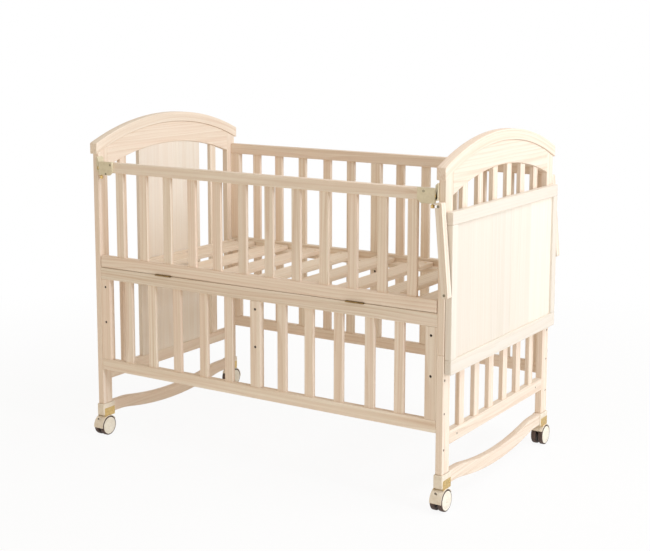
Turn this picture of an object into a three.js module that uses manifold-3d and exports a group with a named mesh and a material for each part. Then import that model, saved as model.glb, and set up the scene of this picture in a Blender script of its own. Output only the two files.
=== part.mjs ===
import * as THREE from "three";
import { mergeVertices } from "three/addons/utils/BufferGeometryUtils.js";
import Module from "manifold-3d";

const wasm = await Module();
wasm.setup();

// Convertible crib, millimetres. X runs along the length, Y to the back, Z up.
// The pieces are laid out from the floor and the middle of the four posts. The origin
// is then set under the middle of the whole crib, fold-out panel and all.

// Frame
const frameLength = 1064; // over the outer faces of the posts
const frameDepth = 610;
const boardThickness = 18;
const slatThickness = 12;
const endSlatWidth = 26;
const sideSlatWidth = 26;
const sideSlatThickness = 10;
const postWidth = 36;
const postBottom = 90;
const postJointHeight = 376; // where the right end's upper frame stands on the lower one

// Arched ends
const capWidth = 24;
const capDepth = 27; // thickness of the bent cap
const capOverhang = 8; // past the posts, at front and back
const capCrown = 876; // highest point of the cap
const capRise = 65; // from the top of its end faces to the crown
const apronDepth = 58; // from the cap's underside to the arch, at mid depth
const apronRise = 47;
const endRailBottom = 156;
const endRailHeight = 32;
const centreBoardWidth = 270;
const archSteps = 26;

// Right end
const lowerGrilleRailHeight = 43;
const upperGrilleRailHeight = 34;
const endSlatCount = 6;

// Rockers and shoes
const rockerEndDepth = 30;
const rockerDrop = 20; // how far the top edge dips at mid depth
const rockerFlat = 104; // length of each flat end
const rockerMidDepth = 33;
const rockerBlend = 3;
const rockerSteps = 28;
const shoeWall = 3;
const shoeLength = 46;
const shoeHeight = 33;

// Side frames
const lowerFrameBottom = 189;
const seamHeight = 474; // where the gate meets the lower front frame
const seamGap = 1;
const lowerTopRailHeight = 32;
const sideBottomRailHeight = 30;
const sideStileWidth = 31;
const sideSlatShares = [0.134, 0.307, 0.489, 0.676, 0.849]; // of each opening, from its left stile
const rearFrameBottom = 195;
const rearTopDrop = 113; // of the rear frame, below the cap's crown
const rearRailHeight = 30;
const rearMidRailRise = 7; // of its top above the bed slats

// Gate
const gateTopDrop = 115; // below the cap's crown
const gateTopRailHeight = 28;
const gateBottomRailHeight = 31;
const gateSlatCount = 12;
const gateEndGap = 2;

// Gate hinges
const leafThickness = 1.2;
const leafDepth = 14;
const gateLeafLength = 50;
const gateLeafInset = 218; // of its centre from the gate's end
const gatePivotOffset = 4.2; // of the pin, in front of the frame
const gateKnuckleRadius = 1.9;
const hingePinRadius = 1.1;
const leafRunGap = 0.2; // between the two leaves of a closed hinge

// Latches
const housingLength = 46;
const housingHeight = 36;
const housingDepth = 6.5;
const housingChamfer = 9;
const housingDrop = 6; // below the gate's top rail
const strikeThickness = 6;
const strikeDrop = 26; // of its foot, below the gate's top
const strikeHeight = 40;
const strikeDepth = 16; // behind the front face
const strikeChamfer = 5;
const boltHeight = 8;
const boltThickness = 3.8;
const boltDrop = 16; // of its centre, below the gate's top
const boltInside = 33; // length of the bolt in the housing
const boltReach = 4.5; // of its nose into the strike
const boltTravel = 9;
const knobRadius = 4.6;
const knobHeight = 8;
const knobInset = 7; // from the housing's outer end
const knobStemRadius = 1.7;
const knobDrop = 2;

// Fold-out end panel
const panelThickness = 17;
const panelGap = 0.7; // to the posts
const panelDrop = 45; // of its underside below the joint of the right end
const panelTopDrop = 166; // below the cap's crown
const panelEndInset = 3; // from the front and back of the frame
const panelStileWidth = 25;
const panelTopRailHeight = 30;
const panelBottomRailHeight = 35;
const panelBoardThickness = 8;
const panelBoardInset = 6; // of its face behind the stiles
const panelTongue = 5; // of the board in the grooves around it
const panelLeafLength = 60;
const panelLeafDepth = 24;
const panelLeafInset = 142; // of its centre from the panel's end
const panelKnuckleRadius = 2.6;
const panelPivotDrop = 2.8; // of the pin, below the panel

// Stays
const stayWidth = 17;
const stayThickness = 20;
const stayCornerRadius = 3;
const stayStudRise = 14; // above the panel's top
const stayPivotDrop = 187.5; // below the panel's top
const stayTopMargin = 8;
const stayBottomMargin = 8;
const stayScrewRadius = 2.6;
const stayHeadRadius = 4.6;
const stayHeadThickness = 1.2;
const staySideGap = 0.4; // to the post
const stayCollarRadius = 6;

// Bed base
const bedTop = 468;
const bedSlatThickness = 12;
const bedSlatWidth = 61;
const bedSlatCount = 8;
const bedSlatCorner = 10;
const bedRowStart = 32; // from the left end of the bed base to its first wide slat
const bedRowEnd = 72; // from the last one to the right end
const bedEndSlatWidth = 14;
const bedEndSlatCorner = 3;
const bedEdgeGap = 3; // from the slat ends to the side frames
const bedRailHeight = 17;
const bedRailThickness = 18;
const bedBattenWidth = 16;
const bedBattenHeight = 12;
const bedBattenGap = 2; // to the rails beside it
const bedScrewCount = 5; // in each rail
const bedScrewRadius = 4; // of the recess over a screw's head
const bedScrewDepth = 3;
const bedHoleHeights = [420, 323]; // for lower places of the bed base
const bedHoleRadius = 3.5;

// Bolt recesses in the posts and rails
const postBoltHeights = [149, 236, 316];
const postBoltRadius = 3.6;
const railBoltRadius = 3;
const railBoltInset = 40; // from the post
const boltRecessDepth = 5;

// Casters
const wheelRadius = 26.5;
const wheelWidth = 12.5;
const wheelSpacing = 7.6; // between the two wheels of a caster
const wheelCoverRadius = 23.5;
const wheelCoverBulge = 1.4;
const wheelEdge = 2;
const wheelSides = 36;
const axleRadius = 3;
const casterTrail = 8;
const casterInset = 22; // of the swivel stem from the frame's front and back
const hoodThickness = 1.6;
const hoodWidth = 31;
const hoodWebWidth = 6.4;
const hoodFrontAngle = -5; // degrees from level, at the side away from the stem
const hoodRearAngle = 150;
const hoodHoleRadius = 1.7;
const hoodHoleAngle = 40;
const hoodNeckRadius = 9;
const stemRadius = 4;
const stemHeight = 24; // above the shoe's underside

// Clearances and tool overruns
const seatGap = 0.3;
const runGap = 0.6;
const overrun = 4;
const joinDepth = 1;
const roundSides = 20;

// Derived places
const outerX = frameLength / 2;
const innerX = outerX - boardThickness;
const postCentreX = outerX - boardThickness / 2;
const frontY = -frameDepth / 2;
const postInnerY = frameDepth / 2 - postWidth;
const sideInnerY = frameDepth / 2 - boardThickness;
const sideCentreY = frameDepth / 2 - boardThickness / 2;
const capEndY = frameDepth / 2 + capOverhang;
const capTopRadius = (capEndY ** 2 + capRise ** 2) / (2 * capRise);
const capUnderRadius = capTopRadius - capDepth;
const apronCrown = capCrown - capDepth - apronDepth;
const apronRadius = (postInnerY ** 2 + apronRise ** 2) / (2 * apronRise);
const endRailTop = endRailBottom + endRailHeight;
const shoeBottom = postBottom - shoeHeight;
const gateBottom = seamHeight + seamGap / 2;
const lowerFrameTop = seamHeight - seamGap / 2;
const gateTop = capCrown - gateTopDrop;
const gateEndX = innerX - gateEndGap;
const gateLeafCentre = gateEndX - gateLeafInset;
const gateTopEndX = innerX - strikeThickness - joinDepth;
const gatePivotY = frontY - gatePivotOffset;
const strikeBottom = gateTop - strikeDrop;
const boltCentreHeight = gateTop - boltDrop;
const rearFrameTop = capCrown - rearTopDrop;
const bedUnder = bedTop - bedSlatThickness;
const stileCentreX = innerX - sideStileWidth / 2;
const panelInnerX = outerX + panelGap;
const panelOuterX = panelInnerX + panelThickness;
const panelBottom = postJointHeight - panelDrop;
const panelTop = capCrown - panelTopDrop;
const panelEndY = frameDepth / 2 - panelEndInset;
const panelLeafCentre = panelEndY - panelLeafInset;
const panelPivotX = outerX + panelGap / 2;
const panelPivotZ = panelBottom - panelPivotDrop;
const stayTopHeight = panelTop + stayStudRise;
const stayPivotHeight = panelTop - stayPivotDrop;
const stayPivotX = panelInnerX + panelThickness / 2;
const stayBackY = frameDepth / 2 + staySideGap;
const stayFrontY = stayBackY + stayThickness;
const casterY = frameDepth / 2 - casterInset;
const railBoltCentre = postInnerY - railBoltInset;
const rockerBowHalf = frameDepth / 2 - rockerFlat;
const rockerBowRadius = (rockerBowHalf ** 2 + rockerDrop ** 2) / (2 * rockerDrop);

// Finishes
const finish = (color, roughness, metalness = 0) => ({ color, roughness, metalness });
const finishes = {
  pine: finish(0xdcc3a2, 0.62),
  panelPine: finish(0xe6d3b6, 0.6),
  bedPine: finish(0xd6bd9a, 0.66),
  creamPlastic: finish(0xe9dec6, 0.45),
  brass: finish(0xb08a4a, 0.35, 0.9),
  darkSteel: finish(0x5b5046, 0.4, 0.85),
  treadBrown: finish(0x4a3a30, 0.7),
};

const crib = new THREE.Group();
crib.name = "convertible_crib";

function addPiece(name, geometry, finishName, group = crib) {
  const mesh = new THREE.Mesh(geometry, new THREE.MeshStandardMaterial(finishes[finishName]));
  mesh.name = name;
  group.add(mesh);
  return mesh;
}

// Shape helpers
function block([x0, x1], [y0, y1], [z0, z1]) {
  const box = new THREE.BoxGeometry(Math.abs(x1 - x0), Math.abs(y1 - y0), Math.abs(z1 - z0));
  return box.translate((x0 + x1) / 2, (y0 + y1) / 2, (z0 + z1) / 2);
}

// An outline in Y and Z, given thickness along X
function plateAlongX(points, x0, x1) {
  const outline = new THREE.Shape(points);
  const plate = new THREE.ExtrudeGeometry(outline, { depth: x1 - x0, bevelEnabled: false });
  const axes = new THREE.Matrix4().makeBasis(
    new THREE.Vector3(0, 1, 0), new THREE.Vector3(0, 0, 1), new THREE.Vector3(1, 0, 0));
  return plate.applyMatrix4(axes).translate(x0, 0, 0);
}

// An outline in X and Z, given thickness from y0 forward, towards -Y
function plateAlongY(outline, y0, thickness) {
  const options = { depth: thickness, bevelEnabled: false, curveSegments: 5 };
  const plate = new THREE.ExtrudeGeometry(outline, options);
  return plate.rotateX(Math.PI / 2).translate(0, y0, 0);
}

function rodAlongX(radius, x0, x1, y, z, sides = roundSides) {
  const rod = new THREE.CylinderGeometry(radius, radius, Math.abs(x1 - x0), sides);
  return rod.rotateZ(Math.PI / 2).translate((x0 + x1) / 2, y, z);
}

function rodAlongY(radius, y0, y1, x, z, sides = roundSides) {
  const rod = new THREE.CylinderGeometry(radius, radius, Math.abs(y1 - y0), sides);
  return rod.translate(x, (y0 + y1) / 2, z);
}

function rodAlongZ(radius, z0, z1, x, y, sides = roundSides) {
  const rod = new THREE.CylinderGeometry(radius, radius, Math.abs(z1 - z0), sides);
  return rod.rotateX(Math.PI / 2).translate(x, y, (z0 + z1) / 2);
}

// Booleans
function toSolid(geometry) {
  const bare = geometry.clone();
  bare.deleteAttribute("normal");
  bare.deleteAttribute("uv");
  const merged = mergeVertices(bare);
  return new wasm.Manifold(new wasm.Mesh({
    numProp: 3,
    vertProperties: Float32Array.from(merged.attributes.position.array),
    triVerts: Uint32Array.from(merged.index.array),
  }));
}

function toGeometry(solid) {
  const mesh = solid.getMesh();
  const geometry = new THREE.BufferGeometry();
  geometry.setAttribute("position", new THREE.BufferAttribute(Float32Array.from(mesh.vertProperties), 3));
  geometry.setIndex(new THREE.BufferAttribute(Uint32Array.from(mesh.triVerts), 1));
  geometry.computeVertexNormals();
  return geometry;
}

const join = (first, ...others) => toGeometry(
  others.reduce((solid, other) => solid.add(toSolid(other)), toSolid(first)));

const cut = (first, ...tools) => toGeometry(
  tools.reduce((solid, tool) => solid.subtract(toSolid(tool)), toSolid(first)));

// The same piece on the other side, with its faces turned out again
function mirrored(geometry, axis) {
  const copy = geometry.clone().scale(...["x", "y", "z"].map((name) => (name === axis ? -1 : 1)));
  if (!copy.index) {
    copy.setIndex([...Array(copy.attributes.position.count).keys()]);
  }
  const index = copy.index;
  for (let i = 0; i < index.count; i += 3) {
    const second = index.getX(i + 1);
    index.setX(i + 1, index.getX(i + 2));
    index.setX(i + 2, second);
  }
  return copy;
}

// Centres of equal slats that share the space between two edges
function slatCentres(from, to, count, width) {
  const gap = (to - from - count * width) / (count + 1);
  return Array.from({ length: count }, (_, i) => from + gap + width / 2 + i * (gap + width));
}

// Height of an arch of the given crown and radius at a distance from mid depth
const archHeight = (crown, radius, y) => crown - radius + Math.sqrt(radius ** 2 - y ** 2);

function archLine(crown, radius, y0, y1, steps = archSteps) {
  return Array.from({ length: steps + 1 }, (_, i) => {
    const y = y0 + ((y1 - y0) * i) / steps;
    return new THREE.Vector2(y, archHeight(crown, radius, y));
  });
}

const capUnderCrown = capCrown - capDepth;
const capUnderHeight = (y) => archHeight(capUnderCrown, capUnderRadius, y) - seatGap;
const apronHeight = (y) => archHeight(apronCrown, apronRadius, y);

// Arched ends: posts, cap, apron and what stands between them
function postOutline(side, z0) {
  const outer = side * frameDepth / 2;
  const inner = side * postInnerY;
  const steps = 3;
  const top = Array.from({ length: steps + 1 }, (_, i) => {
    const y = outer + ((inner - outer) * i) / steps;
    return new THREE.Vector2(y, capUnderHeight(y));
  });
  return [new THREE.Vector2(outer, z0), ...top, new THREE.Vector2(inner, z0)];
}

function capPiece(centreX) {
  const top = archLine(capCrown, capTopRadius, -capEndY, capEndY);
  const under = archLine(capUnderCrown, capUnderRadius, capEndY, -capEndY);
  return plateAlongX([...under, ...top], centreX - capWidth / 2, centreX + capWidth / 2);
}

function apronPiece(x0) {
  const top = archLine(capUnderCrown - seatGap, capUnderRadius, postInnerY, -postInnerY);
  const under = archLine(apronCrown, apronRadius, -postInnerY, postInnerY);
  return plateAlongX([...under, ...top], x0, x0 + boardThickness);
}

// A slat or board that stands on a rail and meets the apron's arch
function archSlat(centreX, y, width, z0) {
  const low = y - width / 2;
  const high = y + width / 2;
  const steps = Math.max(1, Math.round(width / endSlatWidth));
  const top = archLine(apronCrown - seatGap, apronRadius, high, low, steps);
  const foot = [new THREE.Vector2(low, z0), new THREE.Vector2(high, z0)];
  return plateAlongX([...foot, ...top], centreX - slatThickness / 2, centreX + slatThickness / 2);
}

const depthSpan = [-postInnerY, postInnerY];
const sides = [["front", -1], ["rear", 1]];

function boltRecess(direction, y, z, radius = postBoltRadius) {
  const faceX = direction * outerX;
  return rodAlongX(radius, faceX - direction * boltRecessDepth, faceX + direction * overrun, y, z);
}

function lowerPostCuts(direction, side) {
  return postBoltHeights.map((height) => boltRecess(direction, side * sideCentreY, height));
}

function addLeftEnd() {
  const x0 = -outerX;
  const centreX = -postCentreX;
  for (const [name, side] of sides) {
    const post = plateAlongX(postOutline(side, postBottom), x0, x0 + boardThickness);
    addPiece(`left_post_${name}`, cut(post, ...lowerPostCuts(-1, side)), "pine");
    const half = centreBoardWidth / 2;
    const slatY = side * (half + postInnerY) / 2;
    addPiece(`left_slat_${name}`, archSlat(centreX, slatY, endSlatWidth, endRailTop), "pine");
  }
  addPiece("left_cap", capPiece(centreX), "pine");
  addPiece("left_apron", apronPiece(x0), "pine");
  addPiece("left_centre_board", archSlat(centreX, 0, centreBoardWidth, endRailTop), "panelPine");
  const rail = block([x0, x0 + boardThickness], depthSpan, [endRailBottom, endRailTop]);
  addPiece("left_lower_rail", rail, "pine");
}

function addRightEnd() {
  for (const [name, side] of sides) {
    const ySpan = [side * frameDepth / 2, side * postInnerY];
    const lower = block([innerX, outerX], ySpan, [postBottom, postJointHeight]);
    addPiece(`right_lower_post_${name}`, cut(lower, ...lowerPostCuts(1, side)), "pine");
    const upper = plateAlongX(postOutline(side, postJointHeight), innerX, outerX);
    addPiece(`right_upper_post_${name}`, join(upper, ...stayStud(side)), "pine");
  }
  addPiece("right_cap", capPiece(postCentreX), "pine");
  addPiece("right_apron", apronPiece(innerX), "pine");

  const slatYs = slatCentres(-postInnerY, postInnerY, endSlatCount, endSlatWidth);
  const upperRailTop = postJointHeight + upperGrilleRailHeight;
  const upperRail = block([innerX, outerX], depthSpan, [postJointHeight, upperRailTop]);
  const upperSlats = slatYs.map((y) => archSlat(postCentreX, y, endSlatWidth, upperRailTop - joinDepth));
  addPiece("right_upper_grille", join(upperRail, ...upperSlats), "pine");

  const topRailBottom = postJointHeight - lowerGrilleRailHeight;
  const bottomRail = block([innerX, outerX], depthSpan, [endRailBottom, endRailTop]);
  const topRail = block([innerX, outerX], depthSpan, [topRailBottom, postJointHeight]);
  const slatX = [postCentreX - slatThickness / 2, postCentreX + slatThickness / 2];
  const slatZ = [endRailTop - joinDepth, topRailBottom + joinDepth];
  const lowerSlats = slatYs.map((y) => block(slatX, [y - endSlatWidth / 2, y + endSlatWidth / 2], slatZ));
  const railMiddle = (endRailBottom + endRailTop) / 2;
  const railBolts = sides.map(([, side]) => boltRecess(1, side * railBoltCentre, railMiddle, railBoltRadius));
  const mortises = sides.map(([, side]) => panelLeafMortise(side * panelLeafCentre, -1));
  const grille = join(bottomRail, topRail, ...lowerSlats);
  addPiece("right_lower_grille", cut(grille, ...railBolts, ...mortises), "pine");
}

// Rockers: flat under the posts, bowed down between them
function rockerDip(y, drop) {
  const bow = drop - (rockerBowRadius - Math.sqrt(rockerBowRadius ** 2 - y ** 2));
  return (bow + Math.sqrt(bow ** 2 + rockerBlend ** 2)) / 2;
}

function addRocker(name, centreX) {
  const endY = frameDepth / 2;
  const underDrop = rockerDrop + rockerMidDepth - rockerEndDepth;
  const line = (drop, level, from) => Array.from({ length: rockerSteps + 1 }, (_, i) => {
    const y = from + (-2 * from * i) / rockerSteps;
    return new THREE.Vector2(y, level - rockerDip(y, drop));
  });
  const top = line(rockerDrop, postBottom, endY);
  const under = line(underDrop, postBottom - rockerEndDepth, -endY);
  const board = plateAlongX([...under, ...top], centreX - boardThickness / 2, centreX + boardThickness / 2);
  const bores = sides.map(([, side]) => rodAlongZ(
    stemRadius + runGap, shoeBottom - overrun, shoeBottom + stemHeight + runGap, centreX, side * casterY));
  addPiece(name, cut(board, ...bores), "pine");
}

// Shoes: open-topped sockets around the rockers' ends
function addShoe(name, centreX, side) {
  const halfWidth = boardThickness / 2 + shoeWall;
  const faceY = side * (frameDepth / 2 + shoeWall);
  const backY = side * (frameDepth / 2 + shoeWall - shoeLength);
  const outer = block([centreX - halfWidth, centreX + halfWidth], [faceY, backY],
    [shoeBottom, postBottom - seatGap]);
  const pocketHalf = boardThickness / 2 + seatGap;
  const pocket = block([centreX - pocketHalf, centreX + pocketHalf],
    [side * (frameDepth / 2 + seatGap), backY - side * overrun],
    [postBottom - rockerEndDepth - rockerBlend / 2, postBottom + overrun]);
  const bore = rodAlongZ(stemRadius + runGap, shoeBottom - overrun, postBottom, centreX, side * casterY);
  addPiece(name, cut(outer, pocket, bore), "creamPlastic");
}

// Side frames: a top rail over a grille of stiles, slats and a bottom rail
function addSideFrame(prefix, side, bottom, top, topRailHeight, bottomRailHeight, midRails = []) {
  const ySpan = [side * frameDepth / 2, side * sideInnerY];
  const slatY = [side * sideCentreY - sideSlatThickness / 2, side * sideCentreY + sideSlatThickness / 2];
  const railTop = bottom + bottomRailHeight;
  const slatTop = top - topRailHeight;
  const rails = [[bottom, railTop], ...midRails].map((zSpan) => block([-innerX, innerX], ySpan, zSpan));
  const stileXs = [-stileCentreX, 0, stileCentreX];
  const stiles = stileXs.map((x) => block(
    [x - sideStileWidth / 2, x + sideStileWidth / 2], ySpan, [railTop - joinDepth, slatTop]));
  const slats = [];
  const opening = stileCentreX - sideStileWidth;
  for (const from of [sideStileWidth / 2 - stileCentreX, sideStileWidth / 2]) {
    for (const share of sideSlatShares) {
      const centre = from + share * opening;
      slats.push(block([centre - sideSlatWidth / 2, centre + sideSlatWidth / 2], slatY,
        [railTop - joinDepth, slatTop]));
    }
  }
  const holes = stileXs.flatMap((x) => bedHoleHeights.map((height) => rodAlongY(
    bedHoleRadius, side * (sideInnerY - overrun), side * (frameDepth / 2 + overrun), x, height)));
  addPiece(`${prefix}_grille`, cut(join(...rails, ...stiles, ...slats), ...holes), "pine");
  return block([-innerX, innerX], ySpan, [slatTop, top]);
}

// Hinges: two leaves folded flat on each other, with knuckles around a pin.
// They are drawn along X, closed, with the pin on the axis and the leaves running to +Y.
function hingeLeaves(length, depth, knuckleRadius) {
  const knuckle = length / 3;
  const plateStart = knuckleRadius + seatGap;
  const bore = (radius) => rodAlongX(radius, -length, length, 0, 0);
  const leaf = (up, spans, solidPin) => {
    const zSpan = [up * leafRunGap / 2, up * (leafRunGap / 2 + leafThickness)];
    const plate = block([-length / 2, length / 2], [plateStart, depth], zSpan);
    const barrels = spans.flatMap(([x0, x1]) => [
      rodAlongX(knuckleRadius, x0, x1, 0, 0),
      block([x0, x1], [0, plateStart + joinDepth], zSpan),
    ]);
    const body = join(plate, ...barrels);
    return solidPin ? join(body, rodAlongX(hingePinRadius, -length / 2, length / 2, 0, 0))
      : cut(body, bore(hingePinRadius + seatGap));
  };
  const half = knuckle / 2;
  return {
    moving: leaf(1, [[-half + seatGap, half - seatGap]], false),
    fixed: leaf(-1, [[-length / 2, -half], [half, length / 2]], true),
  };
}

// Gate hinges, in the seam between the gate and the lower front frame
const gateHinge = hingeLeaves(gateLeafLength, gatePivotOffset + leafDepth, gateKnuckleRadius);

function gateLeafMortise(x, up) {
  const halfLength = gateLeafLength / 2 + seatGap;
  const deep = leafRunGap / 2 + leafThickness + seatGap;
  return block([x - halfLength, x + halfLength], [frontY - overrun, frontY + leafDepth + seatGap],
    [seamHeight, seamHeight + up * deep]);
}

// Panel hinges, between the end panel and the right end's lower frame
const panelHinge = hingeLeaves(panelLeafLength, panelPivotDrop + panelLeafDepth, panelKnuckleRadius);

function placePanelLeaf(geometry, y) {
  const axes = new THREE.Matrix4().makeBasis(
    new THREE.Vector3(0, 1, 0), new THREE.Vector3(0, 0, 1), new THREE.Vector3(1, 0, 0));
  return geometry.clone().applyMatrix4(axes).translate(panelPivotX, y, panelPivotZ);
}

function panelLeafMortise(y, outward) {
  const halfLength = panelLeafLength / 2 + seatGap;
  const deep = leafRunGap / 2 + leafThickness + seatGap;
  return block([panelPivotX, panelPivotX + outward * deep], [y - halfLength, y + halfLength],
    [panelBottom - overrun, panelBottom + panelLeafDepth + seatGap]);
}

function addGate() {
  const ySpan = [frontY, frontY + boardThickness];
  const slatY = [-sideCentreY - sideSlatThickness / 2, -sideCentreY + sideSlatThickness / 2];
  const topRailBottom = gateTop - gateTopRailHeight;
  addPiece("gate_top_rail", block([-gateTopEndX, gateTopEndX], ySpan, [topRailBottom, gateTop]), "pine");
  const railTop = gateBottom + gateBottomRailHeight;
  const rail = block([-gateEndX, gateEndX], ySpan, [gateBottom, railTop]);
  const slats = slatCentres(-gateEndX, gateEndX, gateSlatCount, sideSlatWidth).map((x) => block(
    [x - sideSlatWidth / 2, x + sideSlatWidth / 2], slatY, [railTop - joinDepth, topRailBottom]));
  const mortises = [-1, 1].map((end) => gateLeafMortise(end * gateLeafCentre, 1));
  addPiece("gate_grille", cut(join(rail, ...slats), ...mortises), "pine");
  for (const [name, end] of [["left", -1], ["right", 1]]) {
    const place = (geometry) => geometry.clone().translate(end * gateLeafCentre, gatePivotY, seamHeight);
    addPiece(`gate_hinge_leaf_${name}`, place(gateHinge.moving), "darkSteel");
    addPiece(`gate_hinge_base_${name}`, place(gateHinge.fixed), "darkSteel");
  }
}

function addLowerFront() {
  const topRail = addSideFrame("front_lower", -1, lowerFrameBottom, lowerFrameTop,
    lowerTopRailHeight, sideBottomRailHeight);
  const mortises = [-1, 1].map((end) => gateLeafMortise(end * gateLeafCentre, -1));
  addPiece("front_lower_top_rail", cut(topRail, ...mortises), "pine");
}

function addRear() {
  const midRailTop = bedTop + rearMidRailRise;
  const topRail = addSideFrame("rear", 1, rearFrameBottom, rearFrameTop, rearRailHeight, rearRailHeight,
    [[midRailTop - lowerTopRailHeight, midRailTop]]);
  addPiece("rear_top_rail", topRail, "pine");
}

// Latches, drawn at the right end: a housing on the gate, a sliding bolt and a strike on the post
function latchPieces() {
  const outerEnd = gateTopEndX;
  const innerEnd = outerEnd - housingLength;
  const bottom = gateTop - gateTopRailHeight - housingDrop;
  const top = bottom + housingHeight;
  const outline = new THREE.Shape([
    new THREE.Vector2(innerEnd, bottom + housingChamfer),
    new THREE.Vector2(innerEnd + housingChamfer, bottom),
    new THREE.Vector2(outerEnd, bottom),
    new THREE.Vector2(outerEnd, top),
    new THREE.Vector2(innerEnd, top),
  ]);
  const boltY = frontY - housingDepth / 2 + seatGap;
  const slotY = [boltY - boltThickness / 2 - seatGap, boltY + boltThickness / 2 + seatGap];
  const boltZ = [boltCentreHeight - boltHeight / 2, boltCentreHeight + boltHeight / 2];
  const boltStart = outerEnd - boltInside;
  const knobX = outerEnd - knobInset;
  const channel = block([boltStart - boltTravel - runGap, outerEnd + overrun], slotY,
    [boltZ[0] - seatGap, boltZ[1] + seatGap]);
  const slot = block([knobX - knobStemRadius - boltTravel - runGap, knobX + knobStemRadius + seatGap], slotY,
    [bottom - overrun, boltCentreHeight]);
  const housing = cut(plateAlongY(outline, frontY, housingDepth), channel, slot);

  const bar = block([boltStart, outerEnd + joinDepth + boltReach],
    [boltY - boltThickness / 2, boltY + boltThickness / 2], boltZ);
  const knobTop = bottom - knobDrop;
  const stem = rodAlongZ(knobStemRadius, knobTop - joinDepth, boltCentreHeight, knobX, boltY, 12);
  const knob = rodAlongZ(knobRadius, knobTop - knobHeight, knobTop, knobX, boltY);
  const bolt = join(bar, stem, knob);

  const strikeX = innerX - strikeThickness;
  const strikeTop = strikeBottom + strikeHeight;
  const strikeOutline = new THREE.Shape([
    new THREE.Vector2(strikeX, strikeBottom),
    new THREE.Vector2(innerX, strikeBottom),
    new THREE.Vector2(innerX, strikeTop),
    new THREE.Vector2(innerX - strikeThickness + strikeChamfer, strikeTop),
    new THREE.Vector2(strikeX, strikeTop - strikeChamfer),
  ]);
  const strikeBlock = plateAlongY(strikeOutline, frontY + strikeDepth, strikeDepth + housingDepth);
  const notch = block([strikeX - overrun, outerEnd + joinDepth + boltReach + runGap],
    [frontY - housingDepth - overrun, slotY[1] + seatGap], [boltZ[0] - runGap, boltZ[1] + runGap]);
  return { housing, bolt, strike: cut(strikeBlock, notch) };
}

function addLatches() {
  const finishOf = { housing: "creamPlastic", bolt: "brass", strike: "creamPlastic" };
  for (const [kind, geometry] of Object.entries(latchPieces())) {
    addPiece(`latch_${kind}_right`, geometry, finishOf[kind]);
    addPiece(`latch_${kind}_left`, mirrored(geometry, "x"), finishOf[kind]);
  }
}

// Fold-out end panel: a framed board whose rails and stiles are grooved for it
function addPanel() {
  const xSpan = [panelInnerX, panelOuterX];
  const boardOuterX = panelOuterX - panelBoardInset;
  const boardX = [boardOuterX - panelBoardThickness, boardOuterX];
  const insideY = panelEndY - panelStileWidth;
  const insideZ = [panelBottom + panelBottomRailHeight, panelTop - panelTopRailHeight];
  const board = block(boardX, [-insideY - panelTongue, insideY + panelTongue],
    [insideZ[0] - panelTongue, insideZ[1] + panelTongue]);
  const groove = block([boardX[0] - seatGap, boardX[1] + seatGap],
    [-insideY - panelTongue - seatGap, insideY + panelTongue + seatGap],
    [insideZ[0] - panelTongue - seatGap, insideZ[1] + panelTongue + seatGap]);
  const railY = [-panelEndY, panelEndY];
  const topRail = block(xSpan, railY, [insideZ[1], panelTop]);
  const bottomRail = block(xSpan, railY, [panelBottom, insideZ[0]]);
  const mortises = sides.map(([, side]) => panelLeafMortise(side * panelLeafCentre, 1));
  addPiece("panel_top_rail", cut(topRail, groove), "panelPine");
  addPiece("panel_bottom_rail", cut(bottomRail, groove, ...mortises), "panelPine");
  addPiece("panel_board", board, "panelPine");
  for (const [name, side] of sides) {
    const stile = block(xSpan, [side * panelEndY, side * insideY], insideZ);
    addPiece(`panel_stile_${name}`, join(cut(stile, groove), ...stayPivot(side)), "panelPine");
    const y = side * panelLeafCentre;
    addPiece(`panel_hinge_leaf_${name}`, placePanelLeaf(panelHinge.moving, y), "darkSteel");
    addPiece(`panel_hinge_base_${name}`, placePanelLeaf(panelHinge.fixed, y), "darkSteel");
  }
}

// Stays: hooked on a stud of the upper post, turning on a screw in the panel's stile
function headedScrew(side, x, z, fromY) {
  const headY = stayFrontY + seatGap;
  return [
    rodAlongY(stayScrewRadius, side * fromY, side * (headY + joinDepth), x, z),
    rodAlongY(stayHeadRadius, side * headY, side * (headY + stayHeadThickness), x, z),
  ];
}

const stayStud = (side) => headedScrew(side, postCentreX, stayTopHeight, frameDepth / 2 - joinDepth);

function stayPivot(side) {
  const rootY = panelEndY - joinDepth;
  const collar = rodAlongY(
    stayCollarRadius, side * rootY, side * frameDepth / 2, stayPivotX, stayPivotHeight);
  return [...headedScrew(side, stayPivotX, stayPivotHeight, rootY), collar];
}

function addStays() {
  const reach = new THREE.Vector2(postCentreX - stayPivotX, stayTopHeight - stayPivotHeight);
  const half = stayWidth / 2;
  const low = -stayBottomMargin;
  const high = reach.length() + stayTopMargin;
  const outline = new THREE.Shape();
  const corners = [[half, low], [half, high], [-half, high], [-half, low]];
  const turns = [-Math.PI / 2, 0, Math.PI / 2, Math.PI];
  corners.forEach(([x, z], i) => {
    const centreX = x - Math.sign(x) * stayCornerRadius;
    const centreZ = z - (z === high ? stayCornerRadius : -stayCornerRadius);
    outline.absarc(centreX, centreZ, stayCornerRadius, turns[i], turns[i] + Math.PI / 2, false);
  });
  const bar = plateAlongY(outline, -stayBackY, stayThickness);
  const through = [-stayFrontY - overrun, -stayBackY + overrun];
  const boreRadius = stayScrewRadius + runGap;
  const bore = rodAlongY(boreRadius, ...through, 0, 0);
  const seat = rodAlongY(boreRadius, ...through, 0, reach.length());
  const studZ = reach.length();
  const mouth = block([-half - overrun, 0], through, [studZ - boreRadius, studZ + boreRadius]);
  const stay = cut(bar, bore, seat, mouth);
  stay.rotateY(Math.atan2(reach.x, reach.y)).translate(stayPivotX, 0, stayPivotHeight);
  addPiece("stay_front", stay, "panelPine");
  addPiece("stay_rear", mirrored(stay, "y"), "panelPine");
}

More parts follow.
